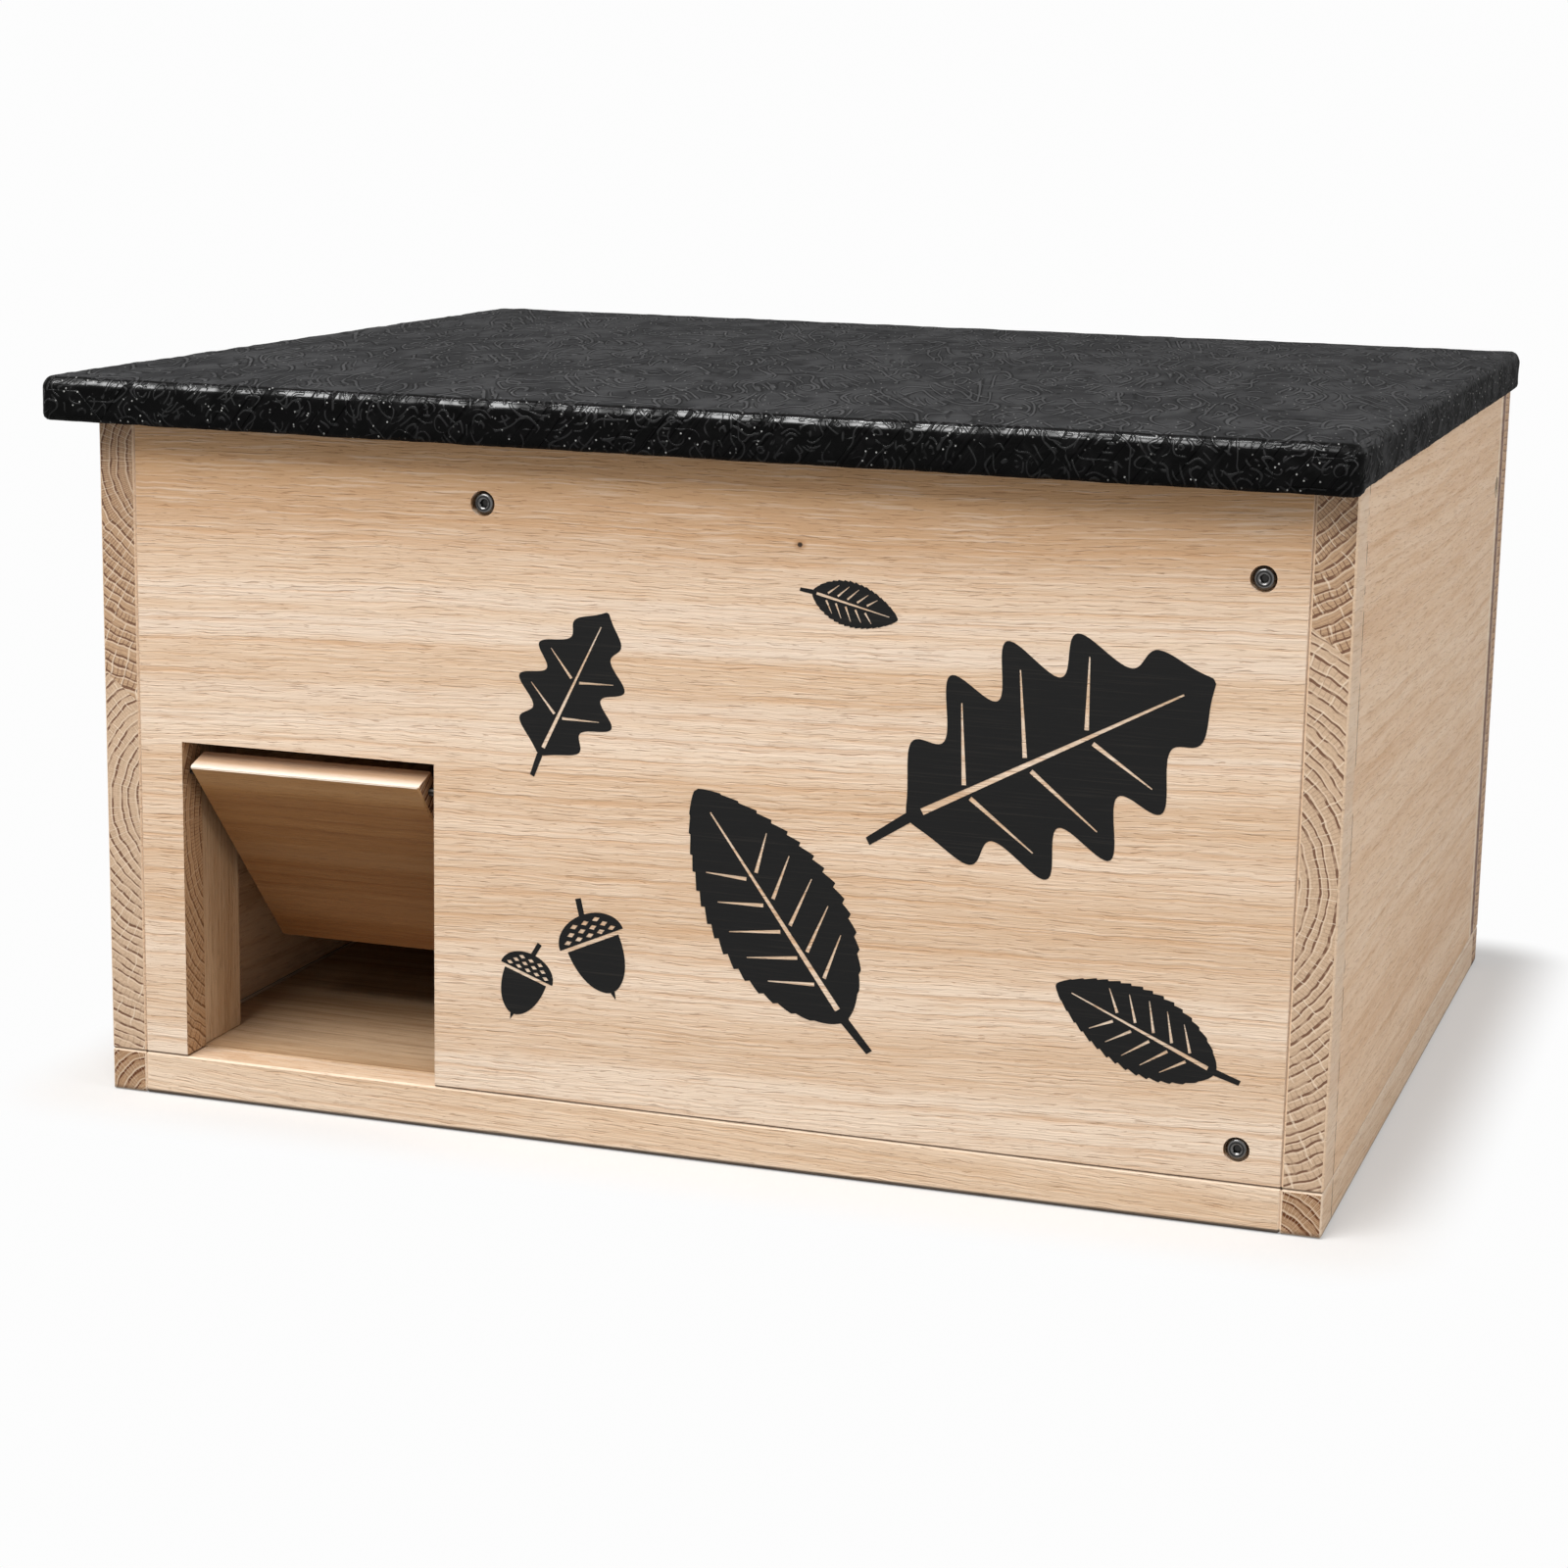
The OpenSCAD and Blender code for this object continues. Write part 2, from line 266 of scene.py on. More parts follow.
class NodeBench:
    """Adds and links the nodes of one material or world."""

    def __init__(self, owner: bpy.types.Material | bpy.types.World, shader: str = "Principled BSDF") -> None:
        """Opens the nodes of a material or a world.

        Args:
            owner: The material or the world.
            shader: Name of the shader that it has to begin with.
        """
        owner.use_nodes = True
        self.owner = owner
        self.tree = owner.node_tree
        self.shader = self.tree.nodes[shader]

    def add(self, kind: str, **settings: object) -> bpy.types.Node:
        """Adds one node.

        Args:
            kind: The node's type name.
            **settings: Properties to set on the node.

        Returns:
            The new node.
        """
        node = self.tree.nodes.new(kind)
        for key, value in settings.items():
            setattr(node, key, value)
        return node

    def feed(self, socket: bpy.types.NodeSocket, source: object) -> None:
        """Links a socket to its source, or sets its value.

        Args:
            socket: The socket.
            source: A signal, another node's socket or a plain value.
        """
        source = source.socket if isinstance(source, Signal) else source
        if isinstance(source, bpy.types.NodeSocket):
            self.tree.links.new(source, socket)
        else:
            socket.default_value = source

    def fill(self, sockets: Iterable[bpy.types.NodeSocket], sources: Iterable[object]) -> None:
        """Feeds sockets in their order."""
        for socket, source in zip(sockets, sources):
            self.feed(socket, source)

    def plug(self, node: bpy.types.Node, inputs: dict[str, object]) -> None:
        """Feeds a node's sockets by name."""
        for title, source in inputs.items():
            self.feed(node.inputs[title], source)

    def point(self) -> Signal:
        """Returns the place on the piece, in metres."""
        return Signal(self, self.add("ShaderNodeTexCoord").outputs["Object"])

    def normal(self) -> Signal:
        """Returns the direction that the surface faces."""
        return Signal(self, self.add("ShaderNodeTexCoord").outputs["Normal"])

    def calc(self, operation: str, *terms: Signal | float, clamp: bool = False) -> Signal:
        """Works out one sum.

        Args:
            operation: The Math node's operation.
            *terms: Its values.
            clamp: Whether the result stays from 0 to 1.

        Returns:
            The result.
        """
        node = self.add("ShaderNodeMath", operation=operation, use_clamp=clamp)
        self.fill(node.inputs, terms)
        return Signal(self, node.outputs[0])

    def join(self, x: Signal | float, y: Signal | float = 0.0, z: Signal | float = 0.0) -> Signal:
        """Joins three values into a vector.

        Args:
            x: The value along X.
            y: The value along Y.
            z: The value along Z.

        Returns:
            The vector.
        """
        node = self.add("ShaderNodeCombineXYZ")
        self.fill(node.inputs, (x, y, z))
        return Signal(self, node.outputs[0])

    def ramp(self, share: Signal, stops: Sequence[tuple[float, Colour]]) -> Signal:
        """Turns a share into a colour between stops.

        Args:
            share: The share, from 0 to 1.
            stops: The share and the colour of each stop, in order.

        Returns:
            The colour.
        """
        node = self.add("ShaderNodeValToRGB")
        elements = node.color_ramp.elements
        while len(elements) < len(stops):
            elements.new(1.0)
        for element, (place, colour) in zip(elements, stops):
            element.position = place
            element.color = colour
        self.feed(node.inputs[0], share)
        return Signal(self, node.outputs["Color"])

    def mix(self, share: Signal | float, under: Signal | Colour, over: Signal | Colour) -> Signal:
        """Lays one colour over another.

        Args:
            share: How much of the upper colour shows.
            under: The lower colour.
            over: The upper colour.

        Returns:
            The mixed colour.
        """
        node = self.add("ShaderNodeMix", data_type="RGBA")
        self.fill((node.inputs[0], node.inputs[6], node.inputs[7]), (share, under, over))
        return Signal(self, node.outputs[2])

    def bump(self, height: Signal, depth: float, strength: float = 1.0) -> Signal:
        """Turns a height into a bumped normal.

        Args:
            height: The height, from 0 to 1.
            depth: The relief in metres at height 1.
            strength: How much of the relief shows.

        Returns:
            The normal.
        """
        node = self.add("ShaderNodeBump")
        self.plug(node, {"Strength": strength, "Distance": depth, "Height": height})
        return Signal(self, node.outputs[0])

    def blend(self, share: Signal, under: bpy.types.NodeSocket, over: bpy.types.NodeSocket) -> bpy.types.NodeSocket:
        """Lays one shader over another.

        Args:
            share: How much of the upper shader shows.
            under: The lower shader's socket.
            over: The upper shader's socket.

        Returns:
            The mixed shader's socket.
        """
        node = self.add("ShaderNodeMixShader")
        self.fill(node.inputs, (share, under, over))
        return node.outputs[0]

    def direct(self) -> Signal:
        """Tells what the camera sees from what only lights the house.

        Returns:
            1 for what the camera sees, straight or in metal and glass, and 0 for the rest.
        """
        path = self.add("ShaderNodeLightPath")
        titles = ("Is Camera Ray", "Is Glossy Ray", "Is Transmission Ray")
        camera, glossy, through = (Signal(self, path.outputs[title]) for title in titles)
        return camera.most(glossy.most(through))


class Combining(Enum):
    """What is done to a piece with another solid."""

    CUT = "DIFFERENCE"
    ADD = "UNION"


class Workbench:
    """Runs Blender's modelling operators on one piece at a time."""

    @staticmethod
    def clear() -> None:
        """Leaves edit mode and deselects everything."""
        if bpy.context.object is not None and bpy.context.object.mode != "OBJECT":
            bpy.ops.object.mode_set(mode="OBJECT")
        bpy.ops.object.select_all(action="DESELECT")

    @staticmethod
    def take(piece: bpy.types.Object) -> None:
        """Selects one piece alone and makes it active.

        Args:
            piece: The piece.
        """
        Workbench.clear()
        piece.select_set(True)
        bpy.context.view_layer.objects.active = piece

    @staticmethod
    def name(title: str) -> bpy.types.Object:
        """Names the piece that was just made.

        Args:
            title: Its name.

        Returns:
            The piece.
        """
        piece = bpy.context.active_object
        piece.name = title
        piece.data.name = title
        return piece

    @staticmethod
    def settle(piece: bpy.types.Object) -> None:
        """Puts a piece's place, turn and scale into its mesh."""
        Workbench.take(piece)
        bpy.ops.object.transform_apply(location=True, rotation=True, scale=True)

    @staticmethod
    def _open(piece: bpy.types.Object, edges: bool) -> None:
        """Takes a piece with nothing selected in its mesh.

        Args:
            piece: The piece.
            edges: Whether edges are selected next, and not faces.
        """
        Workbench.take(piece)
        bpy.context.tool_settings.mesh_select_mode = (False, edges, not edges)
        for group in (piece.data.vertices, piece.data.edges, piece.data.polygons):
            group.foreach_set("select", [False] * len(group))

    @staticmethod
    def edit_faces(piece: bpy.types.Object, test: Callable[[Vector, Vector], bool]) -> None:
        """Opens a piece in edit mode with some faces selected.

        Args:
            piece: The piece.
            test: Says from a face's middle and normal whether it is selected.
        """
        Workbench._open(piece, edges=False)
        for face in piece.data.polygons:
            face.select = test(face.center, face.normal)
        bpy.ops.object.mode_set(mode="EDIT")

    @staticmethod
    def edit_edges(piece: bpy.types.Object, test: Callable[[Vector, Vector], bool]) -> None:
        """Opens a piece in edit mode with some edges selected.

        Args:
            piece: The piece.
            test: Says from an edge's two ends whether it is selected.
        """
        Workbench._open(piece, edges=True)
        for edge in piece.data.edges:
            edge.select = test(*(piece.data.vertices[index].co for index in edge.vertices))
        bpy.ops.object.mode_set(mode="EDIT")

    @staticmethod
    def edit_rim(piece: bpy.types.Object) -> None:
        """Opens a piece in edit mode with its open edges selected.

        Args:
            piece: The piece.
        """
        Workbench._open(piece, edges=True)
        bpy.ops.object.mode_set(mode="EDIT")
        bpy.ops.mesh.select_non_manifold(
            extend=False, use_wire=False, use_boundary=True,
            use_multi_face=False, use_non_contiguous=False, use_verts=False,
        )

    @staticmethod
    def edit_all(piece: bpy.types.Object) -> None:
        """Opens a piece in edit mode with everything selected.

        Args:
            piece: The piece.
        """
        Workbench.take(piece)
        bpy.ops.object.mode_set(mode="EDIT")
        bpy.ops.mesh.select_all(action="SELECT")

    @staticmethod
    def extrude(rise: float, scale: Spot = (1.0, 1.0), centre: Vector | Point = (0, 0, 0)) -> None:
        """Draws the selection out along Z.

        Args:
            rise: How far.
            scale: How much its new end grows along X and Y.
            centre: The point that the end grows from.
        """
        bpy.ops.mesh.extrude_region_move(TRANSFORM_OT_translate={"value": (0, 0, rise)})
        if scale != (1.0, 1.0):
            bpy.ops.transform.resize(value=(*scale, 1.0), center_override=centre)

    @staticmethod
    def combine(piece: bpy.types.Object, other: bpy.types.Object, way: Combining) -> None:
        """Cuts another solid out of a piece or adds it on, and deletes the other.

        Args:
            piece: The piece.
            other: The other solid.
            way: Whether it is cut out or added.
        """
        Workbench.take(piece)
        modifier = piece.modifiers.new("combine", "BOOLEAN")
        modifier.operation = way.value
        modifier.solver = "EXACT"
        modifier.object = other
        bpy.ops.object.modifier_apply(modifier=modifier.name)
        bpy.data.objects.remove(other)

    @staticmethod
    def copy(piece: bpy.types.Object, title: str, place: Matrix) -> bpy.types.Object:
        """Copies a piece with its own mesh and sets the copy down at a place.

        Args:
            piece: The piece.
            title: The copy's name.
            place: The copy's turn and place.

        Returns:
            The copy.
        """
        twin = piece.copy()
        twin.data = piece.data.copy()
        twin.name = title
        twin.data.transform(place)
        bpy.context.scene.collection.objects.link(twin)
        return twin

    @staticmethod
    def join(pieces: Sequence[bpy.types.Object], title: str) -> bpy.types.Object:
        """Joins several pieces into one.

        Args:
            pieces: The pieces.
            title: Name of the joined one.

        Returns:
            The joined piece.
        """
        Workbench.take(pieces[0])
        for piece in pieces[1:]:
            piece.select_set(True)
        bpy.ops.object.join()
        return Workbench.name(title)

    @staticmethod
    def smooth(piece: bpy.types.Object, angle: float) -> None:
        """Shades a piece smooth, with edges over an angle in degrees kept crisp."""
        Workbench.take(piece)
        bpy.ops.object.shade_smooth_by_angle(angle=math.radians(angle))


class Grain(Enum):
    """How a board's grain lies: the axes along it, across the face, and through the board."""

    LENGTHWISE_UPRIGHT = "XZY"
    LENGTHWISE_FLAT = "XYZ"
    DEPTHWISE_UPRIGHT = "YZX"
    DEPTHWISE_FLAT = "YXZ"
    STANDING = "ZXY"


@dataclass(frozen=True)
class Knot:
    """A pin knot on a board's face.

    Attributes:
        along: Its place along the grain, in metres.
        across: Its place across the face.
        radius: Its radius.
        heart: Colour of its middle.
    """

    along: float
    across: float
    radius: float
    heart: Colour = tone(24, 14, 8)


@dataclass(frozen=True)
class Stripe:
    """A band of paler or deeper wood, or of painted shade, at a known place across a board.

    Attributes:
        across: Its place across the face, in metres.
        half: Half its width.
        soft: Width of its soft edges.
        colour: Its colour.
        share: How strongly it shows.
        straight: Whether it keeps its place where the grain wanders, such as the shadow in a joint.
    """

    across: float
    half: float
    soft: float
    colour: Colour
    share: float
    straight: bool = False

    def share_at(self, across: Signal) -> Signal:
        """Returns how strongly the stripe shows at a place across the face."""
        off = abs(across - self.across)
        return off.span(self.half - self.soft / 2, self.half + self.soft / 2, self.share, 0.0)


@dataclass(frozen=True)
class Seam:
    """A line across the grain, such as the shadow beside a joint.

    Attributes:
        along: Its place along the grain, in metres.
        half: Half its width.
        colour: Its colour.
        share: How strongly it shows.
        broken: Whether it shows only in dashes.
    """

    along: float
    half: float
    colour: Colour
    share: float
    broken: bool = False


@dataclass(frozen=True)
class Pith:
    """The middle of the growth rings that show on a board's ends.

    Attributes:
        across: Its place across the face, in metres.
        through: Its place from the middle of the board's thickness.
        above: Where across the face its rings begin, up to the next pith's.
        dense: How dark and close the wood round it is, from 0 to 1.
    """

    across: float
    through: float
    above: float = -1.0
    dense: float = 1.0


Mark = Knot | Stripe | Seam | Pith
Kind = TypeVar("Kind", Knot, Stripe, Seam, Pith)


def of_kind(marks: Sequence[Mark], kind: type[Kind]) -> list[Kind]:
    """Picks the marks of one kind."""
    return [mark for mark in marks if isinstance(mark, kind)]


class WoodPattern:
    """The noises of a board, along the grain, across the face and through the board.

    A reach is how far a noise carries the grain, in metres, and a turn how far it turns it, in radians.
    """

    SWAY = Pattern((2.4, 7, 7))
    RIPPLE = Pattern((16, 60, 60))
    TREMOR = Pattern((95, 120, 120))
    BANDS = Pattern((0.7, 40, 30), detail=3, rough=0.55)
    DRIFT = Pattern((0.3, 21, 21))
    FADE = Pattern((3.5, 48, 48), shift=(2.7, 0, 0))
    FIBRES = Pattern((24, 820, 600), detail=3, rough=0.6)
    LONG_PORES = Pattern((60, 1000, 700), shift=(0, 7.3, 0))
    SHORT_PORES = Pattern((170, 1500, 900), shift=(0, 7.3, 0))
    SHINE = Pattern((20, 240, 240), detail=2)
    DASHES = Pattern(95.0)
    END_SWAY = Pattern((30, 75, 75), detail=2)
    END_DRIFT = Pattern(90.0)
    END_GAPS = Pattern((90, 160, 160), shift=(0, 3.3, 0))
    END_SPECKS = Pattern(900.0, detail=2)
    SWAY_REACH = 16 * MM
    RIPPLE_REACH = 2.6 * MM
    TREMOR_REACH = 1.3 * MM
    KNOT_REACH = 0.8 * MM
    END_REACH = 4.5 * MM
    END_TURN = 0.06


@dataclass(frozen=True)
class WoodFinish:
    """Planed softwood with its bands, late wood lines, fibres, pores and end grain.

    Attributes:
        title: The finish's name.
        pale: Colour of the palest bands, and of the edges, which are paler partly from wear and partly as a painted
            highlight.
        middle: Colour of the plain wood.
        deep: Colour of the darkest bands.
        line: Colour of the late wood lines.
        pore: Colour of the pores, which show as fine dashes.
        chatter: How strongly the fine fibres and dashes show.
        end: Colour of the end grain.
        end_line: Colour of the rings on the end grain.
        end_ray: Colour of the rays on the end grain.
        ring: Distance between the late wood lines on the face.
        end_ring: Distance between the rings on the end grain.
        end_ray_turn: Rays in a turn of one radian.
        hatch: Steps of the fine hatch on the end grain, in radians and in metres.
        lean: Fall of the grain along the board.
        rough: Roughness of the face.
        relief: Depth of the face's relief.
        lit_crown: Colour of a painted highlight on an upper edge that faces up, strongest at its front and fading to
            the back, where the board has one.
        lit_crown_wide: Width over which that highlight fades.
    """

    title: str
    pale: Colour
    middle: Colour
    deep: Colour
    line: Colour
    pore: Colour = tone(172, 122, 78)
    chatter: float = 1.0
    end: Colour = tone(188, 152, 117)
    end_line: Colour = tone(94, 47, 10)
    end_ray: Colour = tone(240, 218, 192)
    ring: float = 9.5 * MM
    end_ring: float = 4.3 * MM
    end_ray_turn: float = 13.0
    hatch: Spot = (0.026, 1.4 * MM)
    lean: float = 0.02
    rough: float = 0.60
    relief: float = 0.5 * MM
    lit_crown: Colour | None = None
    lit_crown_wide: float = 7 * MM

    def material(
        self,
        board: str,
        grain: Grain,
        seed: float,
        core: float,
        marks: Sequence[Mark] = (),
        turn: tuple[Point, float] | None = None,
    ) -> bpy.types.Material:
        """Makes the material of one board.

        Args:
            board: The board's name.
            grain: How its grain lies.
            seed: What sets this board's pattern apart from the others.
            core: The middle of the board's thickness, in metres.
            marks: Knots, stripes and seams on its face, and piths for its ends.
            turn: A centre and an angle in degrees about X, for a board that stands turned.

        Returns:
            The material.
        """
        bench = NodeBench(bpy.data.materials.new(f"{self.title}_{board}"))
        point, normal = bench.point(), bench.normal()
        if turn is not None:
            point, normal = point.turned(*turn), normal.turned((0, 0, 0), turn[1])
        axes, aim = point.split(), normal.split()
        along, across, through = (axes[letter] for letter in grain.value)
        place = bench.join(along, across, through).stretch((1, 1, 1), (seed * 3.1, seed * 1.7, seed * 2.3))
        facing = {axis: abs(share) for axis, share in aim.items()}
        end_share = facing[grain.value[0]].span(0.75, 0.85)
        depth = through - core

        face, face_height = self._face(bench, place, along, across, marks)
        end, end_height = self._end(bench, place, across, depth, marks)
        colour = bench.mix(end_share, face, end)
        height = (1.0 - end_share) * face_height + end_share * end_height
        square = facing["X"].most(facing["Y"], facing["Z"])
        # Paler edges where the faces meet: partly wear, partly a painted highlight.
        colour = bench.mix(square.span(0.96, 0.80, 0.0, 0.65), colour, self.pale)
        if self.lit_crown is not None:
            # Painted highlight on an edge that faces up, fading from its front to its back.
            painted_crown_light = aim["Z"].span(0.55, 0.80) * depth.span(-self.lit_crown_wide, 0.0, 0.92, 0.20)
            colour = bench.mix(painted_crown_light, colour, self.lit_crown)
        for stripe in of_kind(marks, Stripe):
            if stripe.straight:
                colour = bench.mix(stripe.share_at(across), colour, stripe.colour)
        for seam in of_kind(marks, Seam):
            share = abs(along - seam.along).span(0.6 * seam.half, 1.2 * seam.half, seam.share, 0.0)
            if seam.broken:
                share = share * place.noise(WoodPattern.DASHES).span(0.44, 0.52)
            colour = bench.mix(share, colour, seam.colour)
            height = height - share * 0.5
        bench.plug(bench.shader, {
            "Base Color": colour,
            "Roughness": place.noise(WoodPattern.SHINE).span(0.3, 0.7, self.rough - 0.07, self.rough + 0.07),
            "Specular IOR Level": 0.3,
            "Normal": bench.bump(height, self.relief, 0.9),
        })
        return bench.owner

    def _face(
        self, bench: NodeBench, place: Signal, along: Signal, across: Signal, marks: Sequence[Mark]
    ) -> tuple[Signal, Signal]:
        """Lays bands, stripes, late wood lines, fibres, pores and knots on the long faces.

        Args:
            bench: The material's nodes.
            place: Where the board's pattern is read.
            along: The place along the grain.
            across: The place across the face.
            marks: The board's marks.

        Returns:
            The colour and the height of the face.
        """
        ripple = place.noise(WoodPattern.RIPPLE)
        tremor = place.noise(WoodPattern.TREMOR)
        shift = (place.noise(WoodPattern.SWAY) - 0.5) * WoodPattern.SWAY_REACH
        shift = shift + (ripple - 0.5) * WoodPattern.RIPPLE_REACH + (tremor - 0.5) * WoodPattern.TREMOR_REACH
        shift = shift + along * self.lean
        parts = place.split()
        level = parts["Y"] + shift
        wavy = bench.join(parts["X"], level, parts["Z"])

        stops = ((0.34, self.deep), (0.48, self.middle), (0.64, self.pale))
        colour = bench.ramp(wavy.noise(WoodPattern.BANDS), stops)
        for stripe in of_kind(marks, Stripe):
            if not stripe.straight:
                colour = bench.mix(stripe.share_at(across + shift), colour, stripe.colour)

        phase = (wavy.noise(WoodPattern.DRIFT) * 3.0 + level / self.ring).fract()
        late = phase.span(0.62, 0.93) * phase.span(1.0, 0.95) * wavy.noise(WoodPattern.FADE).span(0.34, 0.56)
        colour = bench.mix(late * 0.46, colour, self.line)

        fibres = wavy.noise(WoodPattern.FIBRES)
        colour = bench.mix(fibres.span(0.50, 0.66, 0.0, 0.42 * self.chatter), colour, self.pale)
        colour = bench.mix(fibres.span(0.49, 0.34, 0.0, 0.30 * self.chatter), colour, self.line)
        long_pores = wavy.noise(WoodPattern.LONG_PORES).span(0.60, 0.72)
        short_pores = wavy.noise(WoodPattern.SHORT_PORES).span(0.65, 0.73)
        colour = bench.mix(long_pores * (0.26 * self.chatter), colour, self.pore)
        colour = bench.mix(short_pores * (0.32 * self.chatter), colour, self.pore)
        height = fibres * 1.1 + 0.2 - long_pores * 0.45 - short_pores * 0.35 - late * 0.15

        for knot in of_kind(marks, Knot):
            far = ((along - knot.along) * 0.9).hypot(across - knot.across) + ripple * WoodPattern.KNOT_REACH
            halo = far.span(1.0 * knot.radius, 2.6 * knot.radius, 0.55, 0.0)
            heart = far.span(0.75 * knot.radius, 1.15 * knot.radius, 0.94, 0.0)
            colour = bench.mix(heart, bench.mix(halo, colour, self.pore), knot.heart)
            height = height - heart * 0.8
        return colour, height

    def _end(
        self, bench: NodeBench, place: Signal, across: Signal, depth: Signal, marks: Sequence[Mark]
    ) -> tuple[Signal, Signal]:
        """Lays rings, rays and a fine hatch on the cut ends, round the board's piths.

        Args:
            bench: The material's nodes.
            place: Where the board's pattern is read.
            across: The place across the face.
            depth: The place from the middle of the board's thickness.
            marks: The board's marks.

        Returns:
            The colour and the height of the end grain.
        """
        piths = of_kind(marks, Pith) or [Pith(0.9, 0.03)]
        pith_across, pith_through, dense = piths[0].across, piths[0].through, piths[0].dense
        edge = across + depth * 0.8
        for pith in piths[1:]:
            here = edge.above(pith.above)
            pith_across = here * (pith.across - pith_across) + pith_across
            pith_through = here * (pith.through - pith_through) + pith_through
            dense = here * (pith.dense - dense) + dense
        sway = place.noise(WoodPattern.END_SWAY)
        dy, dz = across - pith_across, depth - pith_through
        radius = dy.hypot(dz) + sway * WoodPattern.END_REACH
        angle = bench.calc("ARCTAN2", dy, dz) + sway * WoodPattern.END_TURN

        rings = bench.join(radius).noise(WoodPattern.END_DRIFT) * 1.1 + radius / self.end_ring
        ring, gaps = rings.fract(), place.noise(WoodPattern.END_GAPS)
        ring_line = ring.span(0.75, 0.80) * ring.span(1.0, 0.97) * gaps.span(0.34, 0.46, 0.35, 1.0)
        ring_glow = ring.span(0.0, 0.02) * ring.span(0.20, 0.10)
        rays = (angle * self.end_ray_turn).fract()
        ray_line = rays.span(0.86, 0.91) * rays.span(1.0, 0.96) * gaps.span(0.44, 0.52)
        hatch = self._comb(angle, self.hatch[0]) * bench.calc("FLOOR", rings).chance().above(0.25)
        hatch = hatch.most(self._comb(radius, self.hatch[1]) * 0.5) * dense
        specks = place.noise(WoodPattern.END_SPECKS)

        colour = bench.mix(dense * -0.5 + 0.5, self.end, self.end_ray)
        colour = bench.mix(specks.span(0.40, 0.75, 0.0, 0.22), colour, self.end_line)
        colour = bench.mix(hatch * 0.80, colour, self.end_line)
        colour = bench.mix(ring_glow * 0.50, colour, self.end_ray)
        colour = bench.mix(ring_line * 0.96, colour, self.end_line)
        colour = bench.mix(ray_line * 0.62, colour, self.end_ray)
        height = specks * 0.25 + 0.45 - ring_line * 0.22 + ray_line * 0.15 - hatch * 0.15
        return colour, height

    @staticmethod
    def _comb(value: Signal, step: float) -> Signal:
        """Returns fine even lines, one for each step of a value."""
        return abs((value / step).fract() - 0.5).span(0.34, 0.47)


class FeltPattern:
    """The noises of the felt, and how many points its specks may take along a metre."""

    GRIT = Pattern(1400.0, detail=2, rough=0.6)
    SOFT = Pattern((60, 27, 60), detail=2)
    PILLOWS = Pattern(120.0, detail=2, warp=0.6)
    SPECKS = Pattern(46.0)
    WIDE_CREASES = Pattern(125.0)
    FINE_CREASES = Pattern(330.0)
    SPECK_POINTS = 165.0


@dataclass(frozen=True)
class Strokes:
    """Embossed strokes of one width, which are short lengths of wandering contour lines.

    Attributes:
        scales: Frequencies of the hills whose contours are drawn.
        half: Half the width of a stroke.
        spare: Share of the contour lines that is left out.
        contours: Contour lines from the foot of a hill to its top.
    """

    scales: Spot
    half: float
    spare: float
    contours: float = 6.0

    def draw(self, sheet: Signal) -> tuple[Signal, Signal]:
        """Draws the strokes.

        Args:
            sheet: Where the felt is, laid out flat.

        Returns:
            The strokes, and the narrow strips at their feet.
        """
        lines: Signal | float = 0.0
        foot_shade: Signal | float = 0.0
        for scale in self.scales:
            step = 0.12 / scale
            hill, right, up = (
                sheet.stretch((1, 1, 1), (scale + dx, scale + dy, 0)).noise(Pattern(scale, detail=0))
                for dx, dy in ((0.0, 0.0), (step, 0.0), (0.0, step))
            )
            slope = ((right - hill) / step).hypot((up - hill) / step)
            level = abs((hill * self.contours).fract() - 0.5)
            far = level / (slope * self.contours + 0.02 * scale)
            spots = sheet.stretch((1, 1, 1), (0.4, 0.9, 0)).noise(Pattern(1.5 * scale))
            gaps = spots.span(self.spare - 0.035, self.spare + 0.035)
            lines = (far.span(0.5 * self.half, 1.1 * self.half, 1.0, 0.0) * gaps).most(lines)
            foot_shade = (far.span(2.4 * self.half, 1.4 * self.half) * gaps).most(foot_shade)
        return lines, sheet.bench.calc("SUBTRACT", foot_shade, lines, clamp=True)


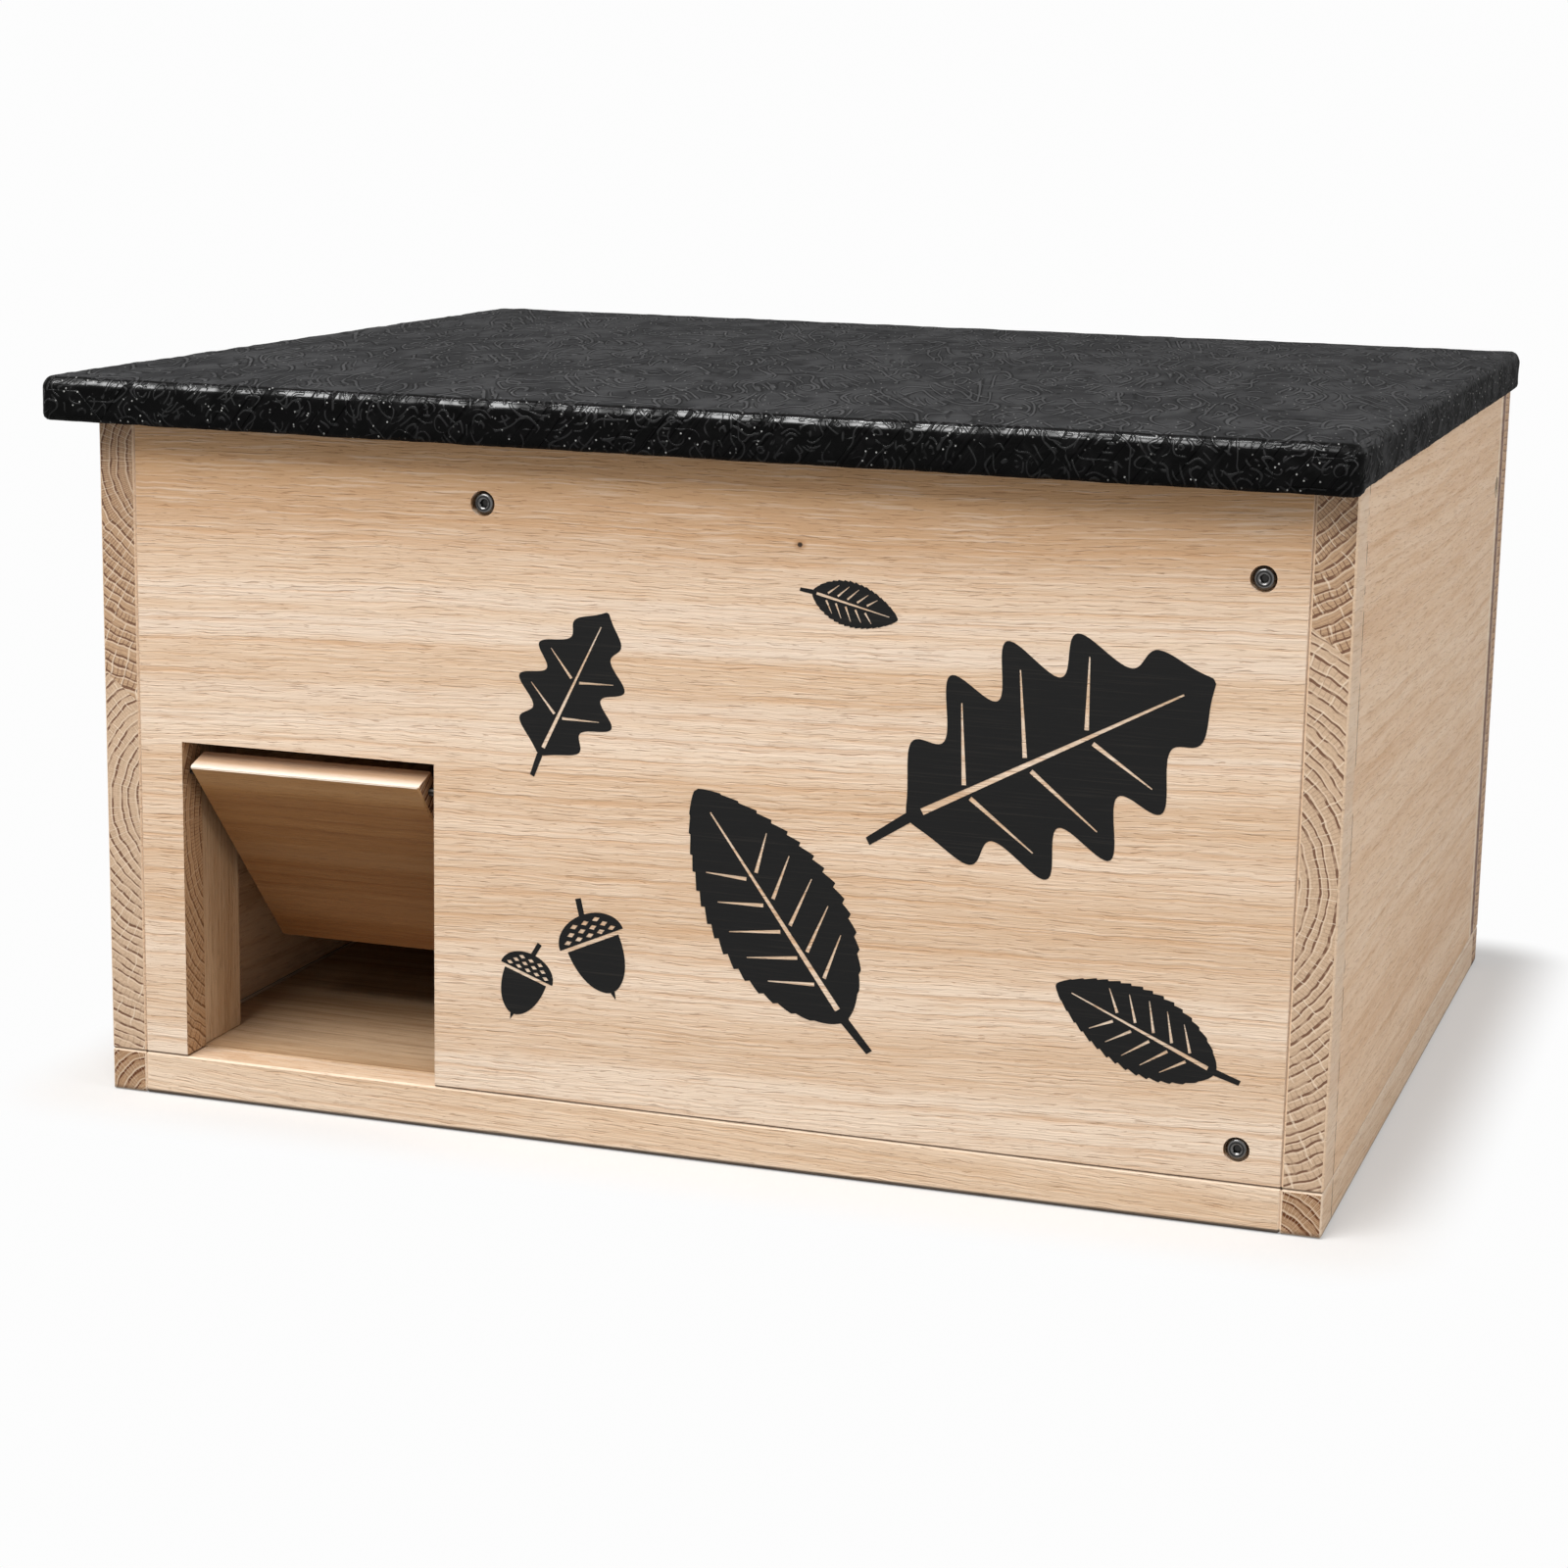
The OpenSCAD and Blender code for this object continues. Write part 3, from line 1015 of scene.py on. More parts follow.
@dataclass(frozen=True)
class FeltFinish:
    """Bitumen felt with embossed worms, fine grit, bright specks and a shine where it is bent.

    Attributes:
        title: The finish's name.
        top: Colour of the flat top between the ridges, paler than the edges partly from dust and partly as a painted
            reflection.
        ground: Colour of the edges between the ridges.
        ridge: Colour of the ridges, paler partly from wear and partly as a painted highlight, and of the dust and the
            painted sheen.
        speck: Colour of the bright specks.
        top_strokes: The embossed strokes of the flat top.
        edge_strokes: The embossed strokes of the upright edges.
        flat_rough: Roughness of the flat top.
        edge_rough: Roughness of the upright edges.
        bend_rough: Roughness where the felt is bent.
        edge_z: Heights of the foot and the head of the upright edges.
        coat_relief: Depth of the relief in the shine.
        relief: Depth of the relief in the felt.
    """

    title: str
    top: Colour = tone(33, 33, 34)
    ground: Colour = tone(5, 5, 5)
    ridge: Colour = tone(92, 92, 93)
    speck: Colour = tone(205, 205, 202)
    top_strokes: Strokes = Strokes((44.0, 61.0), 0.76 * MM, 0.48)
    edge_strokes: Strokes = Strokes((70.0, 98.0), 0.54 * MM, 0.51)
    flat_rough: float = 0.80
    edge_rough: float = 0.62
    bend_rough: float = 0.26
    edge_z: Spot = (322 * MM, 336 * MM)
    coat_relief: float = 0.4 * MM
    relief: float = 1.3 * MM

    def material(self) -> bpy.types.Material:
        """Makes the felt's material.

        Returns:
            The material.
        """
        bench = NodeBench(bpy.data.materials.new(self.title))
        place = bench.point()
        axes, facing = place.split(), bench.normal().split()
        flat = facing["Z"].span(0.955, 0.985)
        upright = 1.0 - flat
        bend = facing["Z"].span(0.26, 0.48) * facing["Z"].span(0.82, 0.72)
        front = facing["Y"].span(-0.10, -0.42)
        beside = upright * (1.0 - front)
        side = abs(facing["X"]).above(0.7)
        slide, climb = side * 0.25 + 0.25, side * -0.28 + 0.28
        sheet = bench.join(axes["Y"] * slide + axes["X"], axes["Y"] * climb + axes["Z"])
        top_line, top_foot = self.top_strokes.draw(sheet)
        edge_line, edge_foot = self.edge_strokes.draw(sheet)
        on_edge = edge_line * upright
        worms = top_line * flat + on_edge
        foot_shade = top_foot * flat + edge_foot * upright
        grit, soft = place.noise(FeltPattern.GRIT), place.noise(FeltPattern.SOFT)
        pillows = sheet.noise(FeltPattern.PILLOWS)
        specks = sheet.cells(FeltPattern.SPECK_POINTS).span(0.045, 0.080, 1.0, 0.0)
        specks = specks * sheet.noise(FeltPattern.SPECKS).span(0.47, 0.60)
        creases = self._creases(bench, axes) * upright

        dust_and_sheen = flat * soft.span(0.38, 0.66, 0.0, 0.22) + beside * pillows.span(0.42, 0.66, 0.0, 0.26)
        # Painted sheen: the upright edges are paler where they turn up towards the top.
        dust_and_sheen = dust_and_sheen + beside * facing["Z"].span(0.25, 0.60, 0.0, 0.22)
        ridge_wear_and_light = flat * 0.26 + beside * 0.23 + 0.06
        # The flat top is paler than the upright edges: partly dust, partly a painted reflection.
        colour = bench.mix(flat, self.ground, self.top)
        colour = bench.mix(dust_and_sheen, colour, self.ridge)
        # Painted shade in the narrow strips along the feet of the strokes.
        colour = bench.mix(foot_shade * 0.75, colour, self.ground)
        # Paler ridges: partly wear, partly a painted highlight on their crests.
        colour = bench.mix(worms * ridge_wear_and_light, colour, self.ridge)
        colour = bench.mix(specks * (flat * -0.32 + 0.52), colour, self.speck)

        shiny = bend * front
        rough = front * upright * (self.edge_rough - self.flat_rough) + self.flat_rough
        rough = rough + shiny * (self.bend_rough - self.edge_rough) + (grit - 0.5) * 0.25
        upper = axes["Z"].span(*self.edge_z, 0.35, 1.0)
        gloss = (pillows.span(0.50, 0.72, 0.0, 0.06) * upper).most(on_edge * upper * 0.24) * front * upright
        strip = shiny * (1.0 - creases) * (edge_foot * -0.8 + 1.0)
        strip = strip * soft.span(0.38, 0.58, 0.08, 0.72) * axes["X"].span(0.10, 0.28, 1.0, 0.45)
        height = worms * 0.8 + soft * 0.45 + pillows * upright * 0.5 - creases * 0.6
        bench.plug(bench.shader, {
            "Base Color": colour,
            "Roughness": rough,
            "Specular IOR Level": 0.04,
            "Coat Weight": strip.most(gloss),
            "Coat Roughness": 0.19,
            "Coat IOR": 1.75,
            "Coat Normal": bench.bump(height, self.coat_relief, 0.8),
            "Normal": bench.bump(height + grit * 0.08, self.relief),
        })
        return bench.owner

    @staticmethod
    def _creases(bench: NodeBench, axes: dict[str, Signal]) -> Signal:
        """Draws slanting creases at uneven distances along the bend.

        Args:
            bench: The material's nodes.
            axes: The place on the felt by its axes.

        Returns:
            The creases.
        """
        slant = axes["Z"] * -0.75 + axes["X"] + axes["Y"] * 0.5
        wide = bench.join(slant).noise(FeltPattern.WIDE_CREASES)
        fine = bench.join(slant, 4.0).noise(FeltPattern.FINE_CREASES)
        return wide.span(0.45, 0.40).most(fine.span(0.39, 0.34, 0.0, 0.9))


@dataclass(frozen=True)
class SteelFinish:
    """Dark plated steel, paler where it is bent and darker on its flat faces as a painted reflection, with fine
    turning marks and a little grime.

    Attributes:
        title: The finish's name.
        bright: Colour of the metal where it is bent, a painted brighter reflection.
        dull: Colour of the flat faces, a painted darker reflection, and of the grime.
        rough: Roughness of the clean metal.
        grime: Noise of the grime.
        marks: Noise of the turning marks.
        relief: Depth of the turning marks.
    """

    title: str
    bright: Colour = tone(102, 101, 100)
    dull: Colour = tone(52, 51, 50)
    rough: float = 0.17
    grime: Pattern = Pattern(420.0, detail=3, rough=0.6)
    marks: Pattern = Pattern(2600.0)
    relief: float = 0.05 * MM

    def material(self) -> bpy.types.Material:
        """Makes the steel's material.

        Returns:
            The material.
        """
        bench = NodeBench(bpy.data.materials.new(self.title))
        place = bench.point()
        grime = place.noise(self.grime)
        facing = [abs(share) for share in bench.normal().split().values()]
        # Painted reflection: the flat faces are darker than the bent ones, with grime over both.
        painted_reflection_and_grime = facing[0].most(*facing[1:]).span(0.94, 0.985).most(grime.span(0.52, 0.78, 0.0, 0.7))
        bench.plug(bench.shader, {
            "Base Color": bench.mix(painted_reflection_and_grime, self.bright, self.dull),
            "Metallic": 1.0,
            "Roughness": grime.span(0.3, 0.7, self.rough, self.rough + 0.14),
            "Normal": bench.bump(place.noise(self.marks), self.relief, 0.4),
        })
        return bench.owner


@dataclass(frozen=True)
class InkFinish:
    """Black screen print that lets the wood's grain show through as fine ridges.

    Attributes:
        title: The finish's name.
        full: Colour of the ink.
        thin: Colour where the ink is thin.
        fibres: Noise of the grain under it.
        relief: Depth of the grain.
    """

    title: str
    full: Colour = tone(20, 20, 20)
    thin: Colour = tone(40, 38, 36)
    fibres: Pattern = Pattern((18, 400, 1300), detail=2, rough=0.6)
    relief: float = 0.25 * MM

    def material(self) -> bpy.types.Material:
        """Makes the ink's material.

        Returns:
            The material.
        """
        bench = NodeBench(bpy.data.materials.new(self.title))
        fibres = bench.point().noise(self.fibres)
        bench.plug(bench.shader, {
            "Base Color": bench.mix(fibres.span(0.50, 0.75, 0.0, 0.8), self.full, self.thin),
            "Roughness": fibres.span(0.3, 0.7, 0.55, 0.72),
            "Specular IOR Level": 0.15,
            "Normal": bench.bump(fibres, self.relief, 0.5),
        })
        return bench.owner


PALE_WOOD = WoodFinish(
    "pale_wood", tone(236, 214, 191), tone(225, 197, 169), tone(217, 186, 155), tone(203, 158, 116),
    end=tone(188, 150, 112), end_line=tone(122, 84, 54), end_ray=tone(206, 174, 140), lean=-0.03, chatter=1.12,
)
SIDE_WOOD = WoodFinish(
    "side_wood", tone(236, 206, 175), tone(230, 196, 162), tone(223, 186, 150), tone(206, 162, 120),
    chatter=1.1, ring=14 * MM,
)
BASE_WOOD = WoodFinish(
    "base_wood", tone(238, 216, 192), tone(228, 200, 171), tone(216, 184, 151), tone(197, 151, 108)
)
# Darker than the outer boards, partly as painted shade inside the house.
INNER_WOOD = WoodFinish(
    "inner_wood", tone(206, 176, 142), tone(188, 154, 118), tone(170, 134, 98), tone(146, 106, 70)
)
# Darker and browner than the other boards, partly as painted shade on the flap.
FLAP_WOOD = WoodFinish(
    "flap_wood", tone(188, 147, 102), tone(166, 120, 72), tone(151, 105, 60), tone(124, 80, 43),
    chatter=0.35, lit_crown=tone(246, 236, 222),
)
ROD_STEEL = SteelFinish("rod_steel", bright=tone(96, 92, 88), dull=tone(52, 46, 40), rough=0.42)


@dataclass
class Boards:
    """The boards of the house, which keep the shape that the CAD model gives them.

    Attributes:
        nodes: The CAD model's objects by name.
        hinge: The middle of the flap's rod.
        flap_angle: How far the flap stands open, in degrees.
        seed: What sets the first board's pattern apart.
        seed_step: How far each board's pattern lies from the one before.
        flap_seed: What sets the flap's pattern apart.
    """

    nodes: dict[str, bpy.types.Object]
    hinge: Point = (0.0, -241 * MM, 157 * MM)
    flap_angle: float = 42.0
    seed: float = 1.0
    seed_step: float = 0.618
    flap_seed: float = 0.4

    def dress(self) -> None:
        """Gives every board the wood of its place, with its grain the way it was sawn."""
        plan: Sequence[tuple[WoodFinish, Grain, tuple[str, ...]]] = (
            (PALE_WOOD, Grain.LENGTHWISE_UPRIGHT, ("front_panel", "rear_panel")),
            (SIDE_WOOD, Grain.DEPTHWISE_UPRIGHT, ("left_panel", "right_panel")),
            (BASE_WOOD, Grain.LENGTHWISE_UPRIGHT, ("base_front_rail", "base_rear_rail")),
            (BASE_WOOD, Grain.DEPTHWISE_UPRIGHT, ("base_left_rail", "base_right_rail")),
            (INNER_WOOD, Grain.LENGTHWISE_FLAT, ("floor_panel",)),
            (INNER_WOOD, Grain.DEPTHWISE_FLAT, ("floor_bearer_left", "floor_bearer_middle", "floor_bearer_right")),
            (INNER_WOOD, Grain.STANDING, ("front_left_post", "front_right_post", "rear_left_post", "rear_right_post")),
            (INNER_WOOD, Grain.DEPTHWISE_UPRIGHT, ("partition",)),
            (INNER_WOOD, Grain.LENGTHWISE_FLAT, ("roof_deck",)),
            (INNER_WOOD, Grain.DEPTHWISE_FLAT, ("roof_batten_left", "roof_batten_right")),
        )
        marks = self._marks()
        boards = [(board, finish, grain) for finish, grain, names in plan for board in names]
        for index, (board, finish, grain) in enumerate(boards):
            low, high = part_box(board)
            through = "XYZ".index(grain.value[2])
            core = (low[through] + high[through]) / 2
            seed = self.seed + self.seed_step * index
            self._assign(board, finish.material(board, grain, seed, core, marks.get(board, ())))
        flap = FLAP_WOOD.material(
            "flap", Grain.LENGTHWISE_UPRIGHT, self.flap_seed, self.hinge[1], marks["flap"],
            turn=(self.hinge, self.flap_angle),
        )
        self._assign("flap", flap)
        self._assign("flap_rod", ROD_STEEL.material())

    @staticmethod
    def _marks() -> dict[str, Sequence[Mark]]:
        """Lists the marks of the boards that have some.

        Returns:
            The marks by the board's name.
        """
        light, painted_eave_shade = tone(234, 215, 196), tone(199, 157, 116)
        joint = Stripe(20.2 * MM, 0.7 * MM, 0.6 * MM, tone(74, 48, 28), 0.85, straight=True)
        # Painted shadow along the foot of the base rails, where they meet the floor: darker on the front and back
        # rails, fainter on the sides.
        painted_foot_shadow = Stripe(0.0, 1.8 * MM, 1.2 * MM, tone(34, 22, 14), 0.92, straight=True)
        faint_foot_shadow = Stripe(0.0, 1.8 * MM, 1.6 * MM, tone(70, 46, 28), 0.50, straight=True)
        scored = Seam(-225 * MM, 0.9 * MM, tone(96, 74, 56), 0.75, broken=True)
        side_marks = (
            # On the side panels, the pale band by the front edge and the pale line before the rear joint are painted
            # highlights. The wide dark band at the rear joint is painted shadow in the gap.
            Seam(-238 * MM, 12 * MM, tone(214, 196, 176), 0.35),
            scored,
            Seam(216 * MM, 2.4 * MM, tone(244, 226, 200), 0.7),
            Seam(226 * MM, 6 * MM, tone(84, 42, 14), 0.95),
            joint,
        )
        return {
            "front_panel": (
                # Painted shade under the roof's overhang: the top of the front is browner and darker, most of all just
                # under the felt.
                Stripe(304 * MM, 28 * MM, 36 * MM, painted_eave_shade, 0.80),
                Stripe(320 * MM, 19 * MM, 14 * MM, tone(214, 168, 120), 0.60),
                Stripe(251 * MM, 4 * MM, 5 * MM, light, 0.55),
                Stripe(236 * MM, 5 * MM, 6 * MM, light, 0.65),
                Stripe(205 * MM, 5 * MM, 7 * MM, light, 0.45),
                Stripe(192 * MM, 3 * MM, 4 * MM, light, 0.40),
                Knot(along=50.6 * MM, across=282.8 * MM, radius=1.5 * MM),
                Pith(132 * MM, 70 * MM),
                Seam(-271.8 * MM, 0.5 * MM, tone(120, 82, 52), 0.4),
                Seam(271.8 * MM, 0.5 * MM, tone(112, 76, 48), 0.40),
                joint,
            ),
            "rear_panel": (joint,),
            "left_panel": (
                *side_marks, Pith(142 * MM, 36 * MM, dense=0.35), Pith(302 * MM, 34 * MM, above=196 * MM)
            ),
            "right_panel": (
                *side_marks, Pith(150 * MM, -55 * MM, dense=0.4), Pith(352 * MM, -45 * MM, above=256 * MM)
            ),
            "base_front_rail": (painted_foot_shadow,),
            "base_rear_rail": (painted_foot_shadow,),
            "base_left_rail": (faint_foot_shadow, Pith(-8 * MM, 16 * MM)),
            "base_right_rail": (faint_foot_shadow, scored, Pith(-10 * MM, -14 * MM)),
            # Painted shade: the flap is darker and browner towards its foot.
            "flap": (Stripe(60 * MM, 62 * MM, 70 * MM, tone(124, 84, 48), 0.65),),
        }

    def _assign(self, board: str, material: bpy.types.Material) -> None:
        """Puts one material in all of a board's slots.

        Args:
            board: The board's name.
            material: The material.
        """
        mesh = self.nodes[board].data
        if not mesh.materials:
            mesh.materials.append(material)
        for index in range(len(mesh.materials)):
            mesh.materials[index] = material
        log.info("dressed %s", board)


@dataclass
class FeltRoof:
    """The felt sheet over the roof, with its rounded edges, lumps and hem.

    Attributes:
        cells: Faces of the flat top along X and Y, before they are divided.
        proud: Room left inside the CAD solid for lumps and folds.
        corner_r: Radius of the upright corners.
        bend: Arcs of the bend over the top edges: radius, turn at the end in degrees, and number of steps.
        low_r: Radius of the lower edges.
        droop: How far the overhang sags below the walls' top at the left and at the right of the front.
        sag: Depth of the overhang that sags, where it eases out, and how far below the top it begins.
        thick: Thickness of the felt.
        hem: Width of the hem on the underside.
        lumps: Name, size and height of each kind of lump.
        fold: Length, height and thickness of the folds at the corners.
        fold_slant: How far a fold's upper corner is drawn in, as a share of its length.
        fold_round: Rounding of a fold's edges, as a share of its thickness.
        fold_set: How far a fold lies inside the CAD solid.
        finish: The felt's finish.
    """

    cells: tuple[int, int] = (60, 52)
    proud: float = 0.8 * MM
    corner_r: float = 6.0 * MM
    bend: tuple[tuple[float, float, int], ...] = ((4.0 * MM, 46.0, 4), (7.0 * MM, 66.0, 3), (6.0 * MM, 90.0, 3))
    low_r: float = 3.2 * MM
    droop: Spot = (0.2 * MM, 1.5 * MM)
    sag: Point = (16 * MM, 8 * MM, 6 * MM)
    thick: float = 2.0 * MM
    hem: float = 42.0 * MM
    lumps: tuple[tuple[str, float, float], ...] = (("lumps", 20 * MM, 0.66 * MM), ("ripples", 7 * MM, 0.44 * MM))
    fold: Point = (26.0 * MM, 12.5 * MM, 1.2 * MM)
    fold_slant: float = 0.42
    fold_round: float = 0.32
    fold_set: float = 0.25 * MM
    finish: FeltFinish = field(default_factory=lambda: FeltFinish("felt"))

    def build(self) -> bpy.types.Object:
        """Models the felt from a flat grid whose rim is drawn out over the edges and under the hem.

        Returns:
            The felt.
        """
        low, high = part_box("roof_felt")
        middle = (low + high) / 2
        size = high - low
        tall = size.z - self.proud
        flat = (size.x - 2 * (self.proud + self.corner_r), size.y - 2 * (self.proud + self.corner_r))
        Workbench.clear()
        bpy.ops.mesh.primitive_grid_add(
            x_subdivisions=self.cells[0], y_subdivisions=self.cells[1], size=1.0,
            location=(middle.x, middle.y, high.z - self.proud),
        )
        felt = Workbench.name("roof_felt_sheet")
        felt.scale = (*flat, 1.0)
        Workbench.settle(felt)
        self._draw_out(felt, middle, flat, [(0.0, 0.0), *self._stations(tall)])
        Workbench.edit_all(felt)
        bpy.ops.mesh.subdivide(number_cuts=2)
        self._line(felt, middle, flat, tall)
        self._round_corners(felt, middle, flat)
        self._sag(felt, low, high)
        self._lump(felt)
        Workbench.smooth(felt, 60)
        return felt

    def _stations(self, tall: float) -> list[Spot]:
        """Lists the rim's way outwards from the flat top and downwards: over the edge, down, and under.

        Args:
            tall: Height of the felt.

        Returns:
            Distance outwards from the flat top, and height below it, of each step.
        """
        out = self.corner_r
        arc: list[Spot] = [(0.0, 0.0)]
        turn = 0.0
        for radius, end, count in self.bend:
            foot = arc[-1]
            a = math.radians(turn)
            for step in range(1, count + 1):
                b = math.radians(turn + (end - turn) * step / count)
                rise = radius * (math.cos(a) - math.cos(b))
                arc.append((foot[0] + radius * (math.sin(b) - math.sin(a)), foot[1] - rise))
            turn = end
        wide, deep = arc[-1]
        steps = [(out - wide + x, z) for x, z in arc]
        straight = tall + deep - self.low_r
        steps += [(out, deep - straight * share) for share in (0.5, 1.0)]
        for turn in (30.0, 60.0, 90.0):
            angle = math.radians(turn)
            steps.append((out - self.low_r * (1 - math.cos(angle)), -tall + self.low_r * (1 - math.sin(angle))))
        under = self.hem - self.low_r
        steps += [(out - self.low_r - under * share, -tall) for share in (0.35, 0.7, 1.0)]
        return steps

    @staticmethod
    def _draw_out(felt: bpy.types.Object, middle: Vector, flat: Spot, steps: Sequence[Spot]) -> None:
        """Extrudes the open rim through each step of a way, and leaves it selected in edit mode.

        Args:
            felt: The sheet.
            middle: The middle of the roof.
            flat: Size of the flat top along X and Y.
            steps: Distance outwards from the flat top, and height below it, of the rim and of each step.
        """
        Workbench.edit_rim(felt)
        for (before, drop), (out, height) in zip(steps, steps[1:]):
            wide, deep = ((length + 2 * out) / (length + 2 * before) for length in flat)
            Workbench.extrude(height - drop, (wide, deep), middle)

    @staticmethod
    def _round_corners(felt: bpy.types.Object, middle: Vector, flat: Spot) -> None:
        """Draws the square upright corners in to a radius round the corners of the flat top.

        Args:
            felt: The sheet.
            middle: The middle of the roof.
            flat: Size of the flat top along X and Y.
        """
        for vertex in felt.data.vertices:
            dx = abs(vertex.co.x - middle.x) - flat[0] / 2
            dy = abs(vertex.co.y - middle.y) - flat[1] / 2
            if dx > 0 and dy > 0:
                drawn = 1 - max(dx, dy) / math.hypot(dx, dy)
                vertex.co.x -= math.copysign(dx * drawn, vertex.co.x - middle.x)
                vertex.co.y -= math.copysign(dy * drawn, vertex.co.y - middle.y)

    def _sag(self, felt: bpy.types.Object, low: Vector, high: Vector) -> None:
        """Lets the lower front edge hang a little below the walls' top, more so to the right.

        Args:
            felt: The sheet.
            low: The roof's lowest corner.
            high: The roof's highest corner.
        """
        reach, ease, start = self.sag
        left, right = self.droop
        for vertex in felt.data.vertices:
            share = (vertex.co.x - low.x) / (high.x - low.x)
            outside = limit((low.y + reach - vertex.co.y) / ease)
            lower = limit((high.z - start - vertex.co.z) / (high.z - low.z - ease))
            vertex.co.z -= outside * lower * (left + share * (right - left))

    def _lump(self, felt: bpy.types.Object) -> None:
        """Raises soft lumps where the felt lies unevenly on the deck.

        Args:
            felt: The sheet.
        """
        Workbench.take(felt)
        for title, size, height in self.lumps:
            texture = bpy.data.textures.new(f"felt_{title}", "CLOUDS")
            texture.noise_scale = size
            texture.noise_depth = 1
            modifier = felt.modifiers.new(title, "DISPLACE")
            modifier.texture = texture
            modifier.texture_coords = "LOCAL"
            modifier.mid_level = 0.5
            modifier.strength = height
            bpy.ops.object.modifier_apply(modifier=modifier.name)

    def _line(self, felt: bpy.types.Object, middle: Vector, flat: Spot, tall: float) -> None:
        """Gives the sheet its inner side, from the hem's edge back round the deck, and closes it.

        Args:
            felt: The sheet.
            middle: The middle of the roof.
            flat: Size of the flat top along X and Y.
            tall: Height of the felt.
        """
        inner = self.corner_r - self.hem
        edge = self.corner_r - self.thick
        floor = self.thick - tall
        self._draw_out(felt, middle, flat, ((inner, -tall), (inner, floor), (edge, floor), (edge, -self.thick)))
        bpy.ops.mesh.edge_face_add()
        bpy.ops.mesh.select_all(action="SELECT")
        bpy.ops.mesh.normals_make_consistent(inside=False)
        Workbench.clear()

    def folds(self) -> bpy.types.Object:
        """Models the folded ends of the felt, which lie over the front and back edges at the corners.

        Returns:
            The four folds as one piece.
        """
        low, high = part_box("roof_felt")
        length, height, thick = self.fold
        inset = self.proud + self.corner_r + length / 2
        copies = []
        for index, (right, front) in enumerate(((True, True), (False, True), (True, False), (False, False))):
            Workbench.clear()
            bpy.ops.mesh.primitive_cube_add(size=1.0, location=(0, thick / 2, height / 2))
            tab = Workbench.name(f"felt_fold_{index}")
            tab.scale = (length, thick, height)
            Workbench.settle(tab)
            Workbench.edit_edges(tab, lambda a, b: max(a.x, b.x) < 0 and min(a.z, b.z) > height - 1e-6)
            bpy.ops.transform.translate(value=(self.fold_slant * length, 0, 0))
            bpy.ops.mesh.select_all(action="SELECT")
            bpy.ops.mesh.bevel(offset=self.fold_round * thick, segments=2, affect="EDGES")
            Workbench.clear()
            edge = Vector((
                high.x - inset if right else low.x + inset,
                low.y + self.fold_set if front else high.y - self.fold_set,
                low.z + self.low_r * 0.6,
            ))
            flip = Matrix.Diagonal((1 if right else -1, 1 if front else -1, 1, 1))
            tab.data.transform(Matrix.Translation(edge) @ flip)
            if right != front:
                tab.data.flip_normals()
            copies.append(tab)
        folds = Workbench.join(copies, "roof_felt_folds")
        Workbench.smooth(folds, 50)
        return folds

    def dress(self, felt: bpy.types.Object, folds: bpy.types.Object) -> None:
        """Gives the felt and its folds their material and their place on the roof.

        Args:
            felt: The sheet.
            folds: The folds.
        """
        material = self.finish.material()
        for piece in (felt, folds):
            piece.data.materials.append(material)
            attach(piece, "roof")
        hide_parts("roof_felt")


class Facing(Enum):
    """The way a screw goes into the wood."""

    FRONT = "front"
    BACK = "back"
    LEFT = "left"
    RIGHT = "right"
    UNDERSIDE = "underside"

    def turn(self) -> Matrix:
        """Points a screw's own +Z into the wood.

        Returns:
            The turn that does it.
        """
        turns = {
            Facing.FRONT: (-90, "X"), Facing.BACK: (90, "X"), Facing.LEFT: (90, "Y"), Facing.RIGHT: (-90, "Y"),
            Facing.UNDERSIDE: (0, "X"),
        }
        angle, axis = turns[self]
        return Matrix.Rotation(math.radians(angle), 4, axis)


@dataclass(frozen=True)
class ScrewSet:
    """The screws of one CAD node.

    Attributes:
        body: The body that they ride on.
        length: Their length under the head, in millimetres.
        step: How much further each is turned than the one before, in degrees.
        places: Each screw's facing and the middle of its hole on the wood's face, in millimetres.
        start: How far the first is turned, in degrees.
    """

    body: str
    length: float
    step: float
    places: tuple[tuple[Facing, Point], ...]
    start: float = 0.0


FRONT_HOLES = ((-98, 292), (252, 281), (252, 35))
BACK_HOLES = tuple((x, z) for x in (-262, -98, 262) for z in (45, 170, 295))
BASE_HOLES = (
    (-62, -241), (230, -241), (-230, 241), (0, 241), (230, 241),
    *((x, y) for x in (-281, 281) for y in (-190, -9, 172)),
)
BATTEN_HOLES = tuple((x, y) for x in (-260, 242) for y in (-153, -3, 147))
SCREW_SETS: dict[str, ScrewSet] = {
    "front_screws": ScrewSet("house", 30, 23.0, tuple((Facing.FRONT, (x, -250, z)) for x, z in FRONT_HOLES)),
    "rear_screws": ScrewSet("house", 30, 37.0, tuple((Facing.BACK, (x, 250, z)) for x, z in BACK_HOLES)),
    "side_screws": ScrewSet(
        "house", 30, 45.0, ((Facing.LEFT, (-290, 212, 271)), (Facing.RIGHT, (290, 212, 271))), start=20.0
    ),
    "base_screws": ScrewSet("house", 40, 29.0, tuple((Facing.UNDERSIDE, (x, y, 0)) for x, y in BASE_HOLES)),
    "batten_screws": ScrewSet("roof", 25, 41.0, tuple((Facing.UNDERSIDE, (x, y, 303)) for x, y in BATTEN_HOLES)),
}


